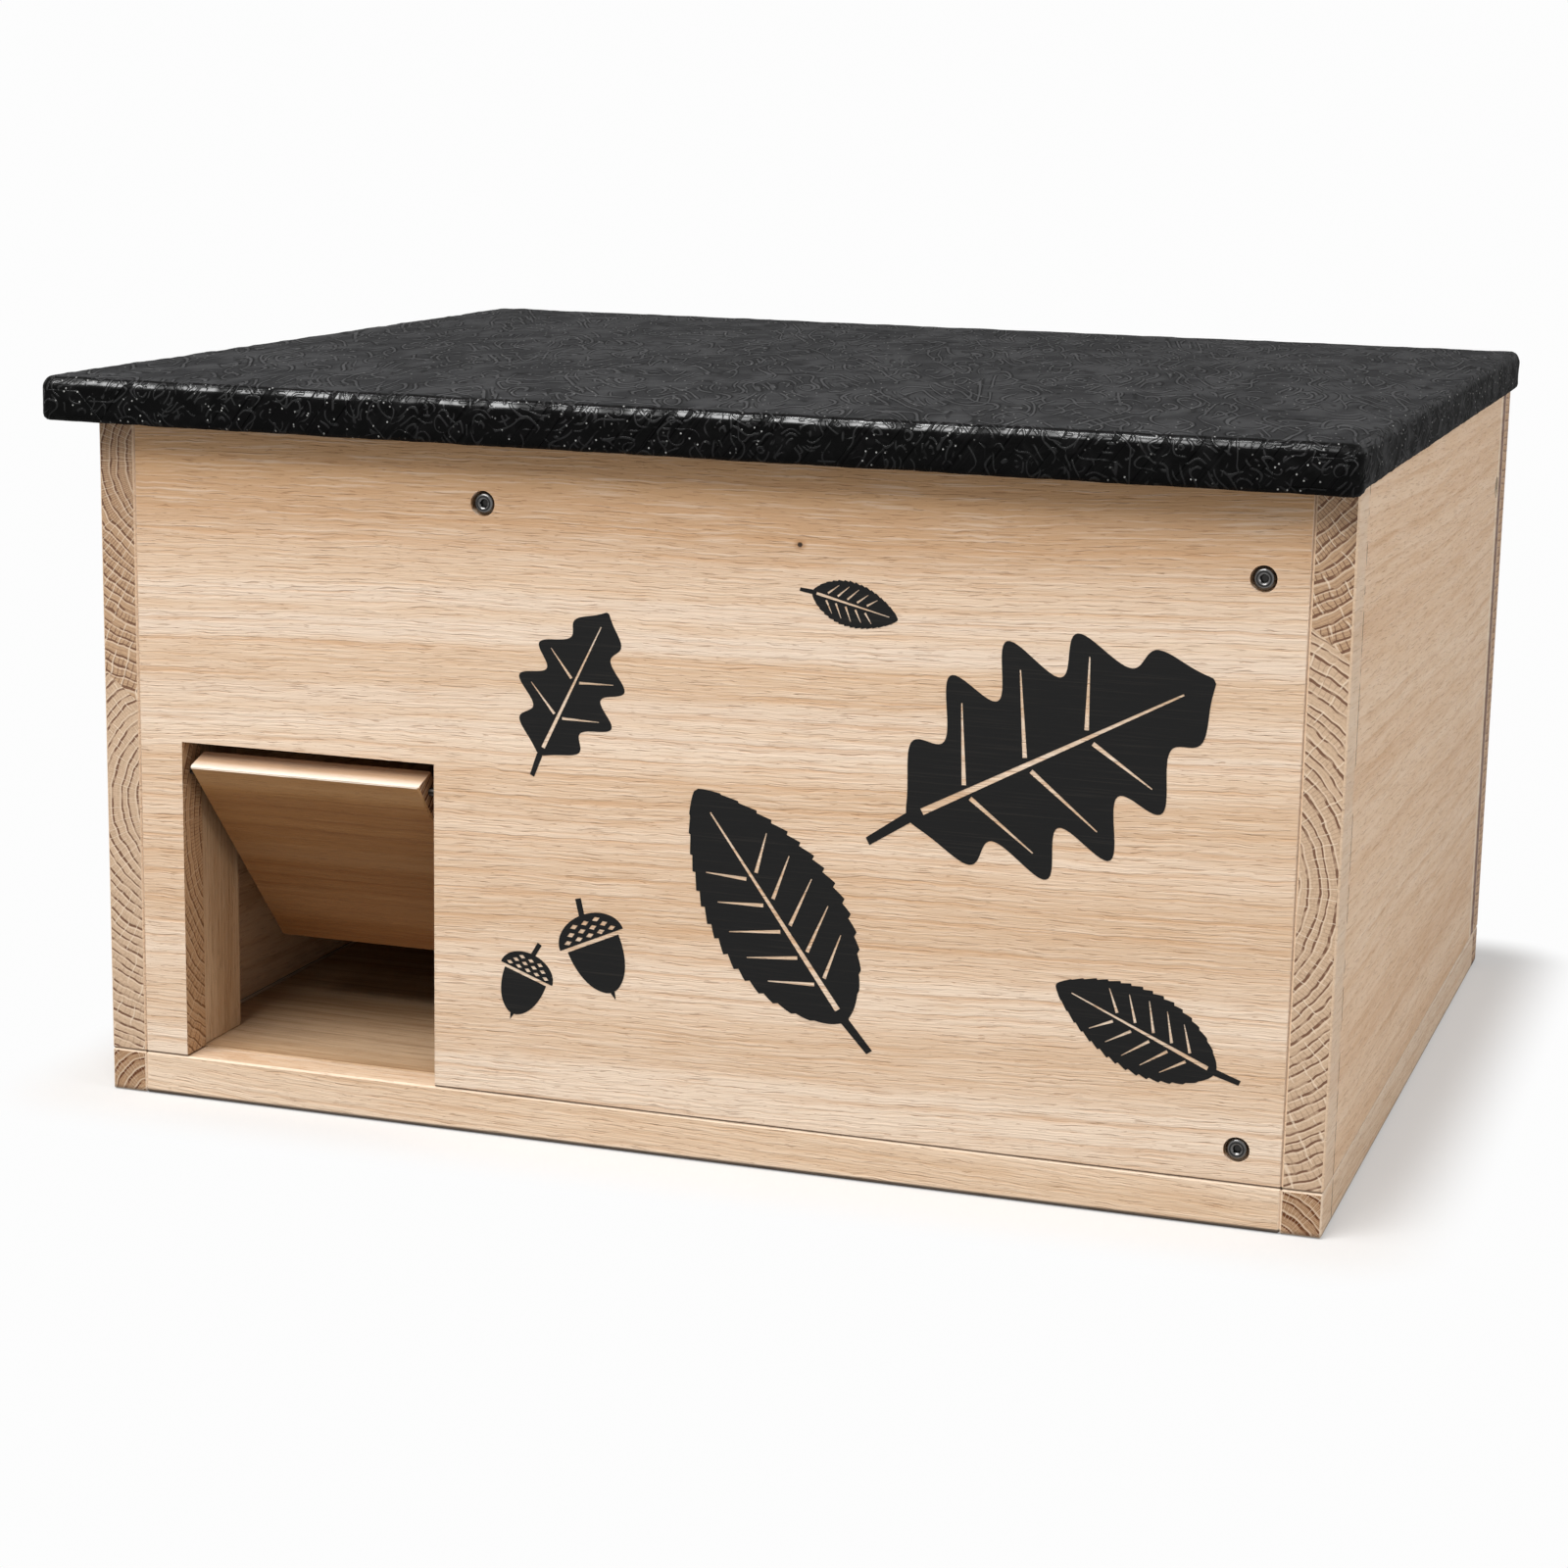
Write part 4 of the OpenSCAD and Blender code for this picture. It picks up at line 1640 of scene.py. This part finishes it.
@dataclass
class Screws:
    """The pan-head wood screws, modelled once for each length.

    Attributes:
        head_r: Radius of the head.
        head_h: Height of the head.
        sink: Depth of the head below the face.
        shank_r: Radius over the thread.
        core_r: Radius between the threads.
        pitch: Distance between the threads.
        flank: Share of the pitch on which a thread rises.
        tip: Width of the point, as a share of the core.
        dome: Radius of the round rim.
        dish: Radius and further depth of each step of the hollow in the head, from its rim inwards.
        arm: Length, width and depth of an arm of the driver cross.
        arm_at: How far the middle of an arm lies below the head's face.
        arm_taper: Size of an arm's foot, as a share of its mouth.
        finish: The screws' finish.
    """

    head_r: float = 5.2 * MM
    head_h: float = 3.0 * MM
    sink: float = 0.8 * MM
    shank_r: float = 2.25 * MM
    core_r: float = 1.6 * MM
    pitch: float = 2.2 * MM
    flank: float = 0.55
    tip: float = 0.08
    dome: float = 2.4 * MM
    dish: tuple[Spot, ...] = (
        (2.7 * MM, 0.0), (2.6 * MM, 0.03 * MM), (1.75 * MM, 0.47 * MM), (1.6 * MM, 0.3 * MM), (1.3 * MM, 1.4 * MM)
    )
    arm: Point = (5.0 * MM, 1.2 * MM, 3.6 * MM)
    arm_at: float = 0.4 * MM
    arm_taper: float = 0.55
    finish: SteelFinish = field(default_factory=lambda: SteelFinish("screw_steel"))

    def build(self) -> list[bpy.types.Object]:
        """Models a screw of each length and sets its copies in their holes.

        Returns:
            One piece for each CAD node of screws.
        """
        steel = self.finish.material()
        masters: dict[float, bpy.types.Object] = {}
        pieces = []
        for node, group in SCREW_SETS.items():
            body, length = group.body, group.length
            if length not in masters:
                masters[length] = self._master(length)
            copies = []
            for index, (facing, place) in enumerate(group.places):
                spin = Matrix.Rotation(math.radians(group.start + group.step * index), 4, "Z")
                spot = Matrix.Translation(Vector(place) * MM) @ facing.turn() @ spin
                copies.append(Workbench.copy(masters[length], node, spot))
            piece = Workbench.join(copies, f"{node}_set")
            piece.data.materials.append(steel)
            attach(piece, body)
            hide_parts(node)
            pieces.append(piece)
        for master in masters.values():
            bpy.data.objects.remove(master)
        return pieces

    def _master(self, length: float) -> bpy.types.Object:
        """Models one screw along +Z, with its face at the wood's face.

        Args:
            length: Length under the head in millimetres.

        Returns:
            The screw.
        """
        top = self.sink
        seat = self.sink + self.head_h
        Workbench.clear()
        bpy.ops.mesh.primitive_cylinder_add(
            vertices=36, radius=self.head_r, depth=self.head_h, location=(0, 0, (top + seat) / 2)
        )
        screw = Workbench.name("screw_master")
        Workbench.settle(screw)
        Workbench.edit_edges(screw, lambda a, b: max(a.z, b.z) < top + 1e-6)
        bpy.ops.mesh.bevel(offset=self.dome, segments=7, profile=0.5, affect="EDGES")
        self._dish(screw)
        Workbench.edit_faces(screw, lambda middle, normal: normal.z > 0.9 and middle.z > seat - 1e-6)
        bpy.ops.mesh.inset(thickness=self.head_r - self.core_r)
        self._thread(length * MM)
        Workbench.clear()
        Workbench.combine(screw, self._driver(), Combining.CUT)
        Workbench.smooth(screw, 35)
        return screw

    def _dish(self, screw: bpy.types.Object) -> None:
        """Hollows the middle of the head into a shallow cone.

        Args:
            screw: The screw, which is its head so far.
        """
        Workbench.edit_faces(screw, lambda middle, normal: normal.z < -0.9 and middle.z < self.sink + 1e-6)
        before = self.head_r - self.dome
        for radius, depth in self.dish:
            Workbench.extrude(depth, (radius / before, radius / before))
            before = radius

    def _thread(self, length: float) -> None:
        """Draws the shank out of the selected face, one thread at a time, and ends it in a point.

        Args:
            length: Length of the shank in metres.
        """
        wide = self.shank_r / self.core_r
        turns = int((length - 2 * self.shank_r) / self.pitch)
        Workbench.extrude(length - 2 * self.shank_r - turns * self.pitch)
        for _ in range(turns):
            Workbench.extrude(self.flank * self.pitch, (wide, wide))
            Workbench.extrude((1 - self.flank) * self.pitch, (1 / wide, 1 / wide))
        Workbench.extrude(2 * self.shank_r, (self.tip, self.tip))

    def _driver(self) -> bpy.types.Object:
        """Models the cross that is pressed into the head, tapered to its foot.

        Returns:
            The cross as a solid.
        """
        arms = []
        for turn in (0, 90):
            Workbench.clear()
            bpy.ops.mesh.primitive_cube_add(size=1.0, location=(0, 0, self.sink + self.arm_at))
            arm = Workbench.name(f"driver_arm_{turn}")
            arm.scale = self.arm
            arm.rotation_euler = (0, 0, math.radians(turn))
            Workbench.settle(arm)
            Workbench.edit_faces(arm, lambda middle, normal: normal.z > 0.9)
            bpy.ops.transform.resize(value=(self.arm_taper, self.arm_taper, 1), center_override=(0, 0, 0))
            Workbench.clear()
            arms.append(arm)
        Workbench.combine(arms[0], arms[1], Combining.ADD)
        return arms[0]


def set_down(loops: Iterable[Loop], middle: Spot, turn: float) -> list[Loop]:
    """Turns loops and sets them in place.

    Args:
        loops: The loops, round the origin.
        middle: Where the origin goes, along X and Z in millimetres.
        turn: How far they are turned to the left, in degrees.

    Returns:
        The loops in place.
    """
    cos, sin = math.cos(math.radians(turn)), math.sin(math.radians(turn))
    return [[(middle[0] + x * cos - y * sin, middle[1] + x * sin + y * cos) for x, y in loop] for loop in loops]


@dataclass(frozen=True)
class Leaf:
    """One printed leaf, which grows from its stalk up the +Y axis before it is turned.

    Attributes:
        middle: Where its middle lies on the front, along X and Z in millimetres.
        length: Length of the blade.
        width: Greatest width of the blade.
        turn: How far it is turned to the left, in degrees.
        lobes: Number of lobes on each side, or 0 for a toothed edge.
        cut: Depth of the cuts between the lobes, as a share of the width.
        teeth: Number of teeth on each side, and their depth as a share of the width.
        pairs: Number of pairs of side veins where the edge is toothed.
        steps: Number of steps along each edge.
    """

    middle: Spot
    length: float
    width: float
    turn: float
    lobes: int = 0
    cut: float = 0.42
    teeth: tuple[int, float] = (16, 0.07)
    pairs: int = 5
    steps: int = 120

    def half(self, share: float) -> float:
        """Measures half the blade's width.

        Args:
            share: Where along the blade, as a share of its length.

        Returns:
            Half the width there.
        """
        full = self.width / 2 * math.sin(math.pi * share**0.86) ** 0.72
        if self.lobes:
            return full * (1 - self.cut * (0.5 + 0.5 * math.cos(2 * math.pi * self.lobes * share)))
        count, depth = self.teeth
        return full * (1 - depth * ((count * share) % 1.0))

    def loops(self) -> list[Loop]:
        """Draws the leaf, turned and in place.

        Returns:
            Its outline and its bare veins.
        """
        size = self.length
        shares = [0.004 + 0.992 * step / self.steps for step in range(self.steps + 1)]
        left = [(-self.half(share), share * size) for share in shares]
        stalk, thick = 0.14 * size, 0.012 * size + 0.5
        outline = [(-thick, 0.0)] + left + [(-x, y) for x, y in reversed(left)] + [(thick, 0.0)]
        outline += [(thick * 0.8 + 0.10 * stalk, -stalk), (-thick * 0.8 + 0.10 * stalk, -stalk)]
        loops = [outline, self._slit((0, 0.05 * size), (0, 0.90 * size), 0.008 * size + 0.35)]
        pairs = self.lobes - 1 if self.lobes else self.pairs
        for pair in range(1, pairs + 1):
            tip = (pair - 0.5) / self.lobes if self.lobes else 0.16 + 0.68 * pair / (pairs + 1)
            foot = tip - 0.10
            if foot < 0.06:
                continue
            for side in (-1, 1):
                start = (side * (0.014 * size + 1.0), foot * size)
                end = (side * 0.74 * self.half(tip), tip * size)
                loops.append(self._slit(start, end, 0.005 * size + 0.28))
        centred = ([(x, y - size / 2) for x, y in loop] for loop in loops)
        return set_down(centred, self.middle, self.turn)

    @staticmethod
    def _slit(start: Spot, end: Spot, half: float) -> Loop:
        """Draws a thin sliver that tapers to its end.

        Args:
            start: Where it starts.
            end: Where it ends.
            half: Half its width at the start.

        Returns:
            Its outline.
        """
        dx, dy = end[0] - start[0], end[1] - start[1]
        far = math.hypot(dx, dy)
        nx, ny = -dy / far * half, dx / far * half
        return [
            (start[0] + nx, start[1] + ny), (start[0] - nx, start[1] - ny),
            (end[0] - nx * 0.3, end[1] - ny * 0.3), (end[0] + nx * 0.3, end[1] + ny * 0.3),
        ]


@dataclass(frozen=True)
class Acorn:
    """One printed acorn, cup upwards before it is turned.

    Attributes:
        middle: Where its middle lies on the front, along X and Z in millimetres.
        length: Length from the cup's top to the tip.
        turn: How far it is turned to the left, in degrees.
        steps: Number of steps round the nut and round the cup, an even one.
        scales: Height and number of the bare scales in each row of the cup.
    """

    middle: Spot
    length: float
    turn: float
    steps: int = 40
    scales: tuple[tuple[float, int], ...] = ((0.185, 5), (0.25, 4), (0.315, 3))

    def loops(self) -> list[Loop]:
        """Draws the acorn, turned and in place.

        Returns:
            The nut, the cup with its stalk, and the cup's bare scales.
        """
        nut: Loop = []
        cup: Loop = []
        for step in range(self.steps + 1):
            angle = math.pi * step / self.steps
            cos, sin = math.cos(angle), math.sin(angle)
            nut.append((-0.29 * cos * (1 - 0.10 * sin**8), 0.10 - 0.52 * sin))
            cup.append((0.36 * cos, 0.14 + 0.26 * sin))
        top = self.steps // 2
        nut[top:top + 1] = [(-0.022, -0.425), (0.0, -0.50), (0.022, -0.425)]
        cup[top:top + 1] = [(0.03, 0.40), (0.06, 0.56), (0.0, 0.57), (-0.03, 0.40)]
        loops = [nut, cup]
        for row, count in self.scales:
            loops += [self._scale((index - (count - 1) / 2) * 0.125, row, 0.045) for index in range(count)]
        sized = ([(x * self.length, y * self.length) for x, y in loop] for loop in loops)
        return set_down(sized, self.middle, self.turn)

    @staticmethod
    def _scale(x: float, y: float, half: float) -> Loop:
        """Returns one bare scale of the cup, a flat diamond."""
        return [(x - half, y), (x, y - 0.55 * half), (x + half, y), (x, y + 0.55 * half)]


@dataclass
class FrontPrint:
    """The screen print on the front: drifting leaves and two acorns.

    Attributes:
        motifs: The leaves and acorns.
        face: Where the front's face lies along Y.
        thick: Thickness of the ink.
        sunk: How far the ink has soaked into the wood.
        finish: The ink's finish.
    """

    motifs: tuple[Leaf | Acorn, ...] = (
        Leaf((168, 202), 150, 104, -62, lobes=5),
        Leaf((40, 122), 122, 64, 36),
        Leaf((-54, 214), 74, 50, -26, lobes=4),
        Leaf((206, 84), 78, 38, 66),
        Leaf((76, 258), 40, 20, -104),
        Acorn((-42, 92), 46, 24),
        Acorn((-78, 74), 37, -20),
    )
    face: float = -250 * MM
    thick: float = 0.20 * MM
    sunk: float = 0.05 * MM
    finish: InkFinish = field(default_factory=lambda: InkFinish("ink"))

    def build(self) -> bpy.types.Object:
        """Fills the motifs' outlines, gives the ink its thickness and lays it on the front.

        Returns:
            The print.
        """
        Workbench.clear()
        curve = bpy.data.curves.new("front_print", "CURVE")
        curve.dimensions = "2D"
        curve.fill_mode = "BOTH"
        for loop in (loop for motif in self.motifs for loop in motif.loops()):
            spline = curve.splines.new("POLY")
            spline.points.add(len(loop) - 1)
            for point, (x, y) in zip(spline.points, loop):
                point.co = (x * MM, y * MM, 0.0, 1.0)
            spline.use_cyclic_u = True
        sheet = bpy.data.objects.new("front_print", curve)
        bpy.context.scene.collection.objects.link(sheet)
        Workbench.take(sheet)
        bpy.ops.object.convert(target="MESH")
        sheet = Workbench.name("front_print")
        Workbench.edit_all(sheet)
        bpy.ops.mesh.remove_doubles(threshold=0.01 * MM)
        Workbench.extrude(self.thick)
        bpy.ops.mesh.select_all(action="SELECT")
        bpy.ops.mesh.normals_make_consistent(inside=False)
        Workbench.clear()
        sheet.rotation_euler = (math.radians(90), 0, 0)
        sheet.location = (0, self.face + self.sunk, 0)
        Workbench.settle(sheet)
        sheet.data.materials.append(self.finish.material())
        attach(sheet, "house")
        return sheet


@dataclass(frozen=True)
class Lamp:
    """One soft lamp.

    Attributes:
        title: Its name.
        place: Where it hangs.
        target: The point that it looks at.
        size: Its width and height.
        power: Its power in watts.
    """

    title: str
    place: Point
    target: Point
    size: Spot
    power: float

    def hang(self) -> None:
        """Adds the lamp to the scene."""
        data = bpy.data.lights.new(self.title, "AREA")
        data.shape = "RECTANGLE"
        data.size, data.size_y = self.size
        data.energy = self.power
        lamp = bpy.data.objects.new(self.title, data)
        place = Vector(self.place)
        turn = (Vector(self.target) - place).to_track_quat("-Z", "Y")
        lamp.matrix_world = Matrix.Translation(place) @ turn.to_matrix().to_4x4()
        bpy.context.scene.collection.objects.link(lamp)


@dataclass
class Studio:
    """The floor, the light and the camera.

    Attributes:
        azimuth: How far the camera stands to the right of the front, in degrees.
        elevation: How far the camera looks down, in degrees.
        roll: How far the camera is tilted, in degrees.
        place: Where the camera stands.
        lens: Focal length in millimetres.
        sensor: Width of the camera's sensor in millimetres.
        footprint: Half the size of the house along X and Y.
        shadow: Distances from the house at which its shadow starts to fade and has gone.
        floor_size: Width of the floor.
        floor_drop: How far the floor lies below the house.
        floor_colour: Colour of the floor beside the house.
        floor_glow: Brightness that the floor beside the house has of its own.
        bounce: Colour of the floor as the house is lit by it.
        white: Brightness of the plain white background.
        air: Colour of the soft light all round.
        soft: Brightness of the soft light all round.
        lamps: A large soft key in front, a long narrow strip overhead and a soft fill at the right.
    """

    azimuth: float = 18.51
    elevation: float = 11.90
    roll: float = 1.08
    place: Point = (0.50442, -1.62114, 0.48189)
    lens: float = 77.607
    sensor: float = 36.0
    footprint: Spot = (290 * MM, 250 * MM)
    shadow: Spot = (12 * MM, 62 * MM)
    floor_size: float = 14.0
    floor_drop: float = 0.4 * MM
    floor_colour: Colour = (0.46, 0.447, 0.435, 1.0)
    floor_glow: float = 0.32
    bounce: Colour = (0.36, 0.355, 0.35, 1.0)
    white: float = 0.98
    air: Colour = (1.0, 0.99, 0.98, 1.0)
    soft: float = 0.32
    lamps: tuple[Lamp, ...] = (
        Lamp("key", (-0.80, -1.85, 2.30), (0.0, -0.2, 0.15), (2.0, 1.2), 68.0),
        Lamp("strip", (-0.25, -0.75, 2.3), (0.0, -0.2, 0.2), (1.8, 0.10), 22.0),
        Lamp("fill", (2.6, -0.9, 1.2), (0.25, 0.0, 0.15), (1.4, 1.4), 25.0),
    )

    def build(self) -> None:
        """Sets up the whole studio, which shows colours as they are written."""
        bpy.context.scene.view_settings.view_transform = "Standard"
        self._camera()
        self._floor()
        self._world()
        for lamp in self.lamps:
            lamp.hang()

    def _camera(self) -> None:
        """Sets the camera where the photograph was taken from."""
        a, e, r = (math.radians(angle) for angle in (self.azimuth, self.elevation, self.roll))
        back = Vector((math.sin(a) * math.cos(e), -math.cos(a) * math.cos(e), math.sin(e)))
        level = Vector((math.cos(a), math.sin(a), 0.0))
        upright = back.cross(level)
        right = math.cos(r) * level + math.sin(r) * upright
        up = math.cos(r) * upright - math.sin(r) * level
        data = bpy.data.cameras.new("camera")
        data.sensor_width = self.sensor
        data.lens = self.lens
        data.clip_start = 0.05
        camera = bpy.data.objects.new("camera", data)
        turn = Matrix((right, up, back)).transposed().to_4x4()
        camera.matrix_world = Matrix.Translation(Vector(self.place)) @ turn
        bpy.context.scene.collection.objects.link(camera)
        bpy.context.scene.camera = camera

    def _floor(self) -> None:
        """Lays a white floor that keeps the shadow near the house and fades to plain white."""
        Workbench.clear()
        bpy.ops.mesh.primitive_plane_add(size=self.floor_size, location=(0, 0, -self.floor_drop))
        floor = Workbench.name("floor")
        Workbench.settle(floor)
        bench = NodeBench(bpy.data.materials.new("floor_white"))
        parts = bench.point().split()
        beside = [(abs(parts[axis]) - half).most(0.0) for axis, half in zip("XY", self.footprint)]
        fade = beside[0].hypot(beside[1]).span(*self.shadow)
        bench.plug(bench.shader, {"Base Color": self.floor_colour, "Roughness": 0.9, "Specular IOR Level": 0.0})
        glow, plain = bench.add("ShaderNodeEmission"), bench.add("ShaderNodeEmission")
        bench.plug(glow, {"Strength": self.floor_glow})
        bench.plug(plain, {"Strength": self.white})
        near = bench.add("ShaderNodeAddShader")
        bench.fill(near.inputs, (bench.shader.outputs[0], glow.outputs[0]))
        bounce = bench.add("ShaderNodeBsdfDiffuse")
        bench.plug(bounce, {"Color": self.bounce})
        seen = bench.blend(fade, near.outputs[0], plain.outputs[0])
        whole = bench.blend(bench.direct(), bounce.outputs[0], seen)
        bench.plug(bench.tree.nodes["Material Output"], {"Surface": whole})
        floor.data.materials.append(bench.owner)

    def _world(self) -> None:
        """Surrounds the house with soft light, and shows it as plain white."""
        bench = NodeBench(bpy.data.worlds.new("studio"), "Background")
        bpy.context.scene.world = bench.owner
        bench.plug(bench.shader, {"Color": self.air, "Strength": self.soft})
        plain = bench.add("ShaderNodeBackground")
        bench.plug(plain, {"Color": (self.white, self.white, self.white, 1.0), "Strength": 1.0})
        whole = bench.blend(bench.direct(), bench.shader.outputs[0], plain.outputs[0])
        bench.plug(bench.tree.nodes["World Output"], {"Surface": whole})


def main() -> None:
    """Builds the studio, the boards and the pieces."""
    logging.basicConfig(level=logging.INFO, format="%(message)s")
    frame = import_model()
    Workbench.clear()
    Studio().build()
    Boards(frame["nodes"]).dress()
    roof = FeltRoof()
    felt, folds = roof.build(), roof.folds()
    roof.dress(felt, folds)
    for piece in (felt, folds, FrontPrint().build(), *Screws().build()):
        log.info("made %s with %d faces", piece.name, len(piece.data.polygons))


if __name__ == "__main__":
    main()
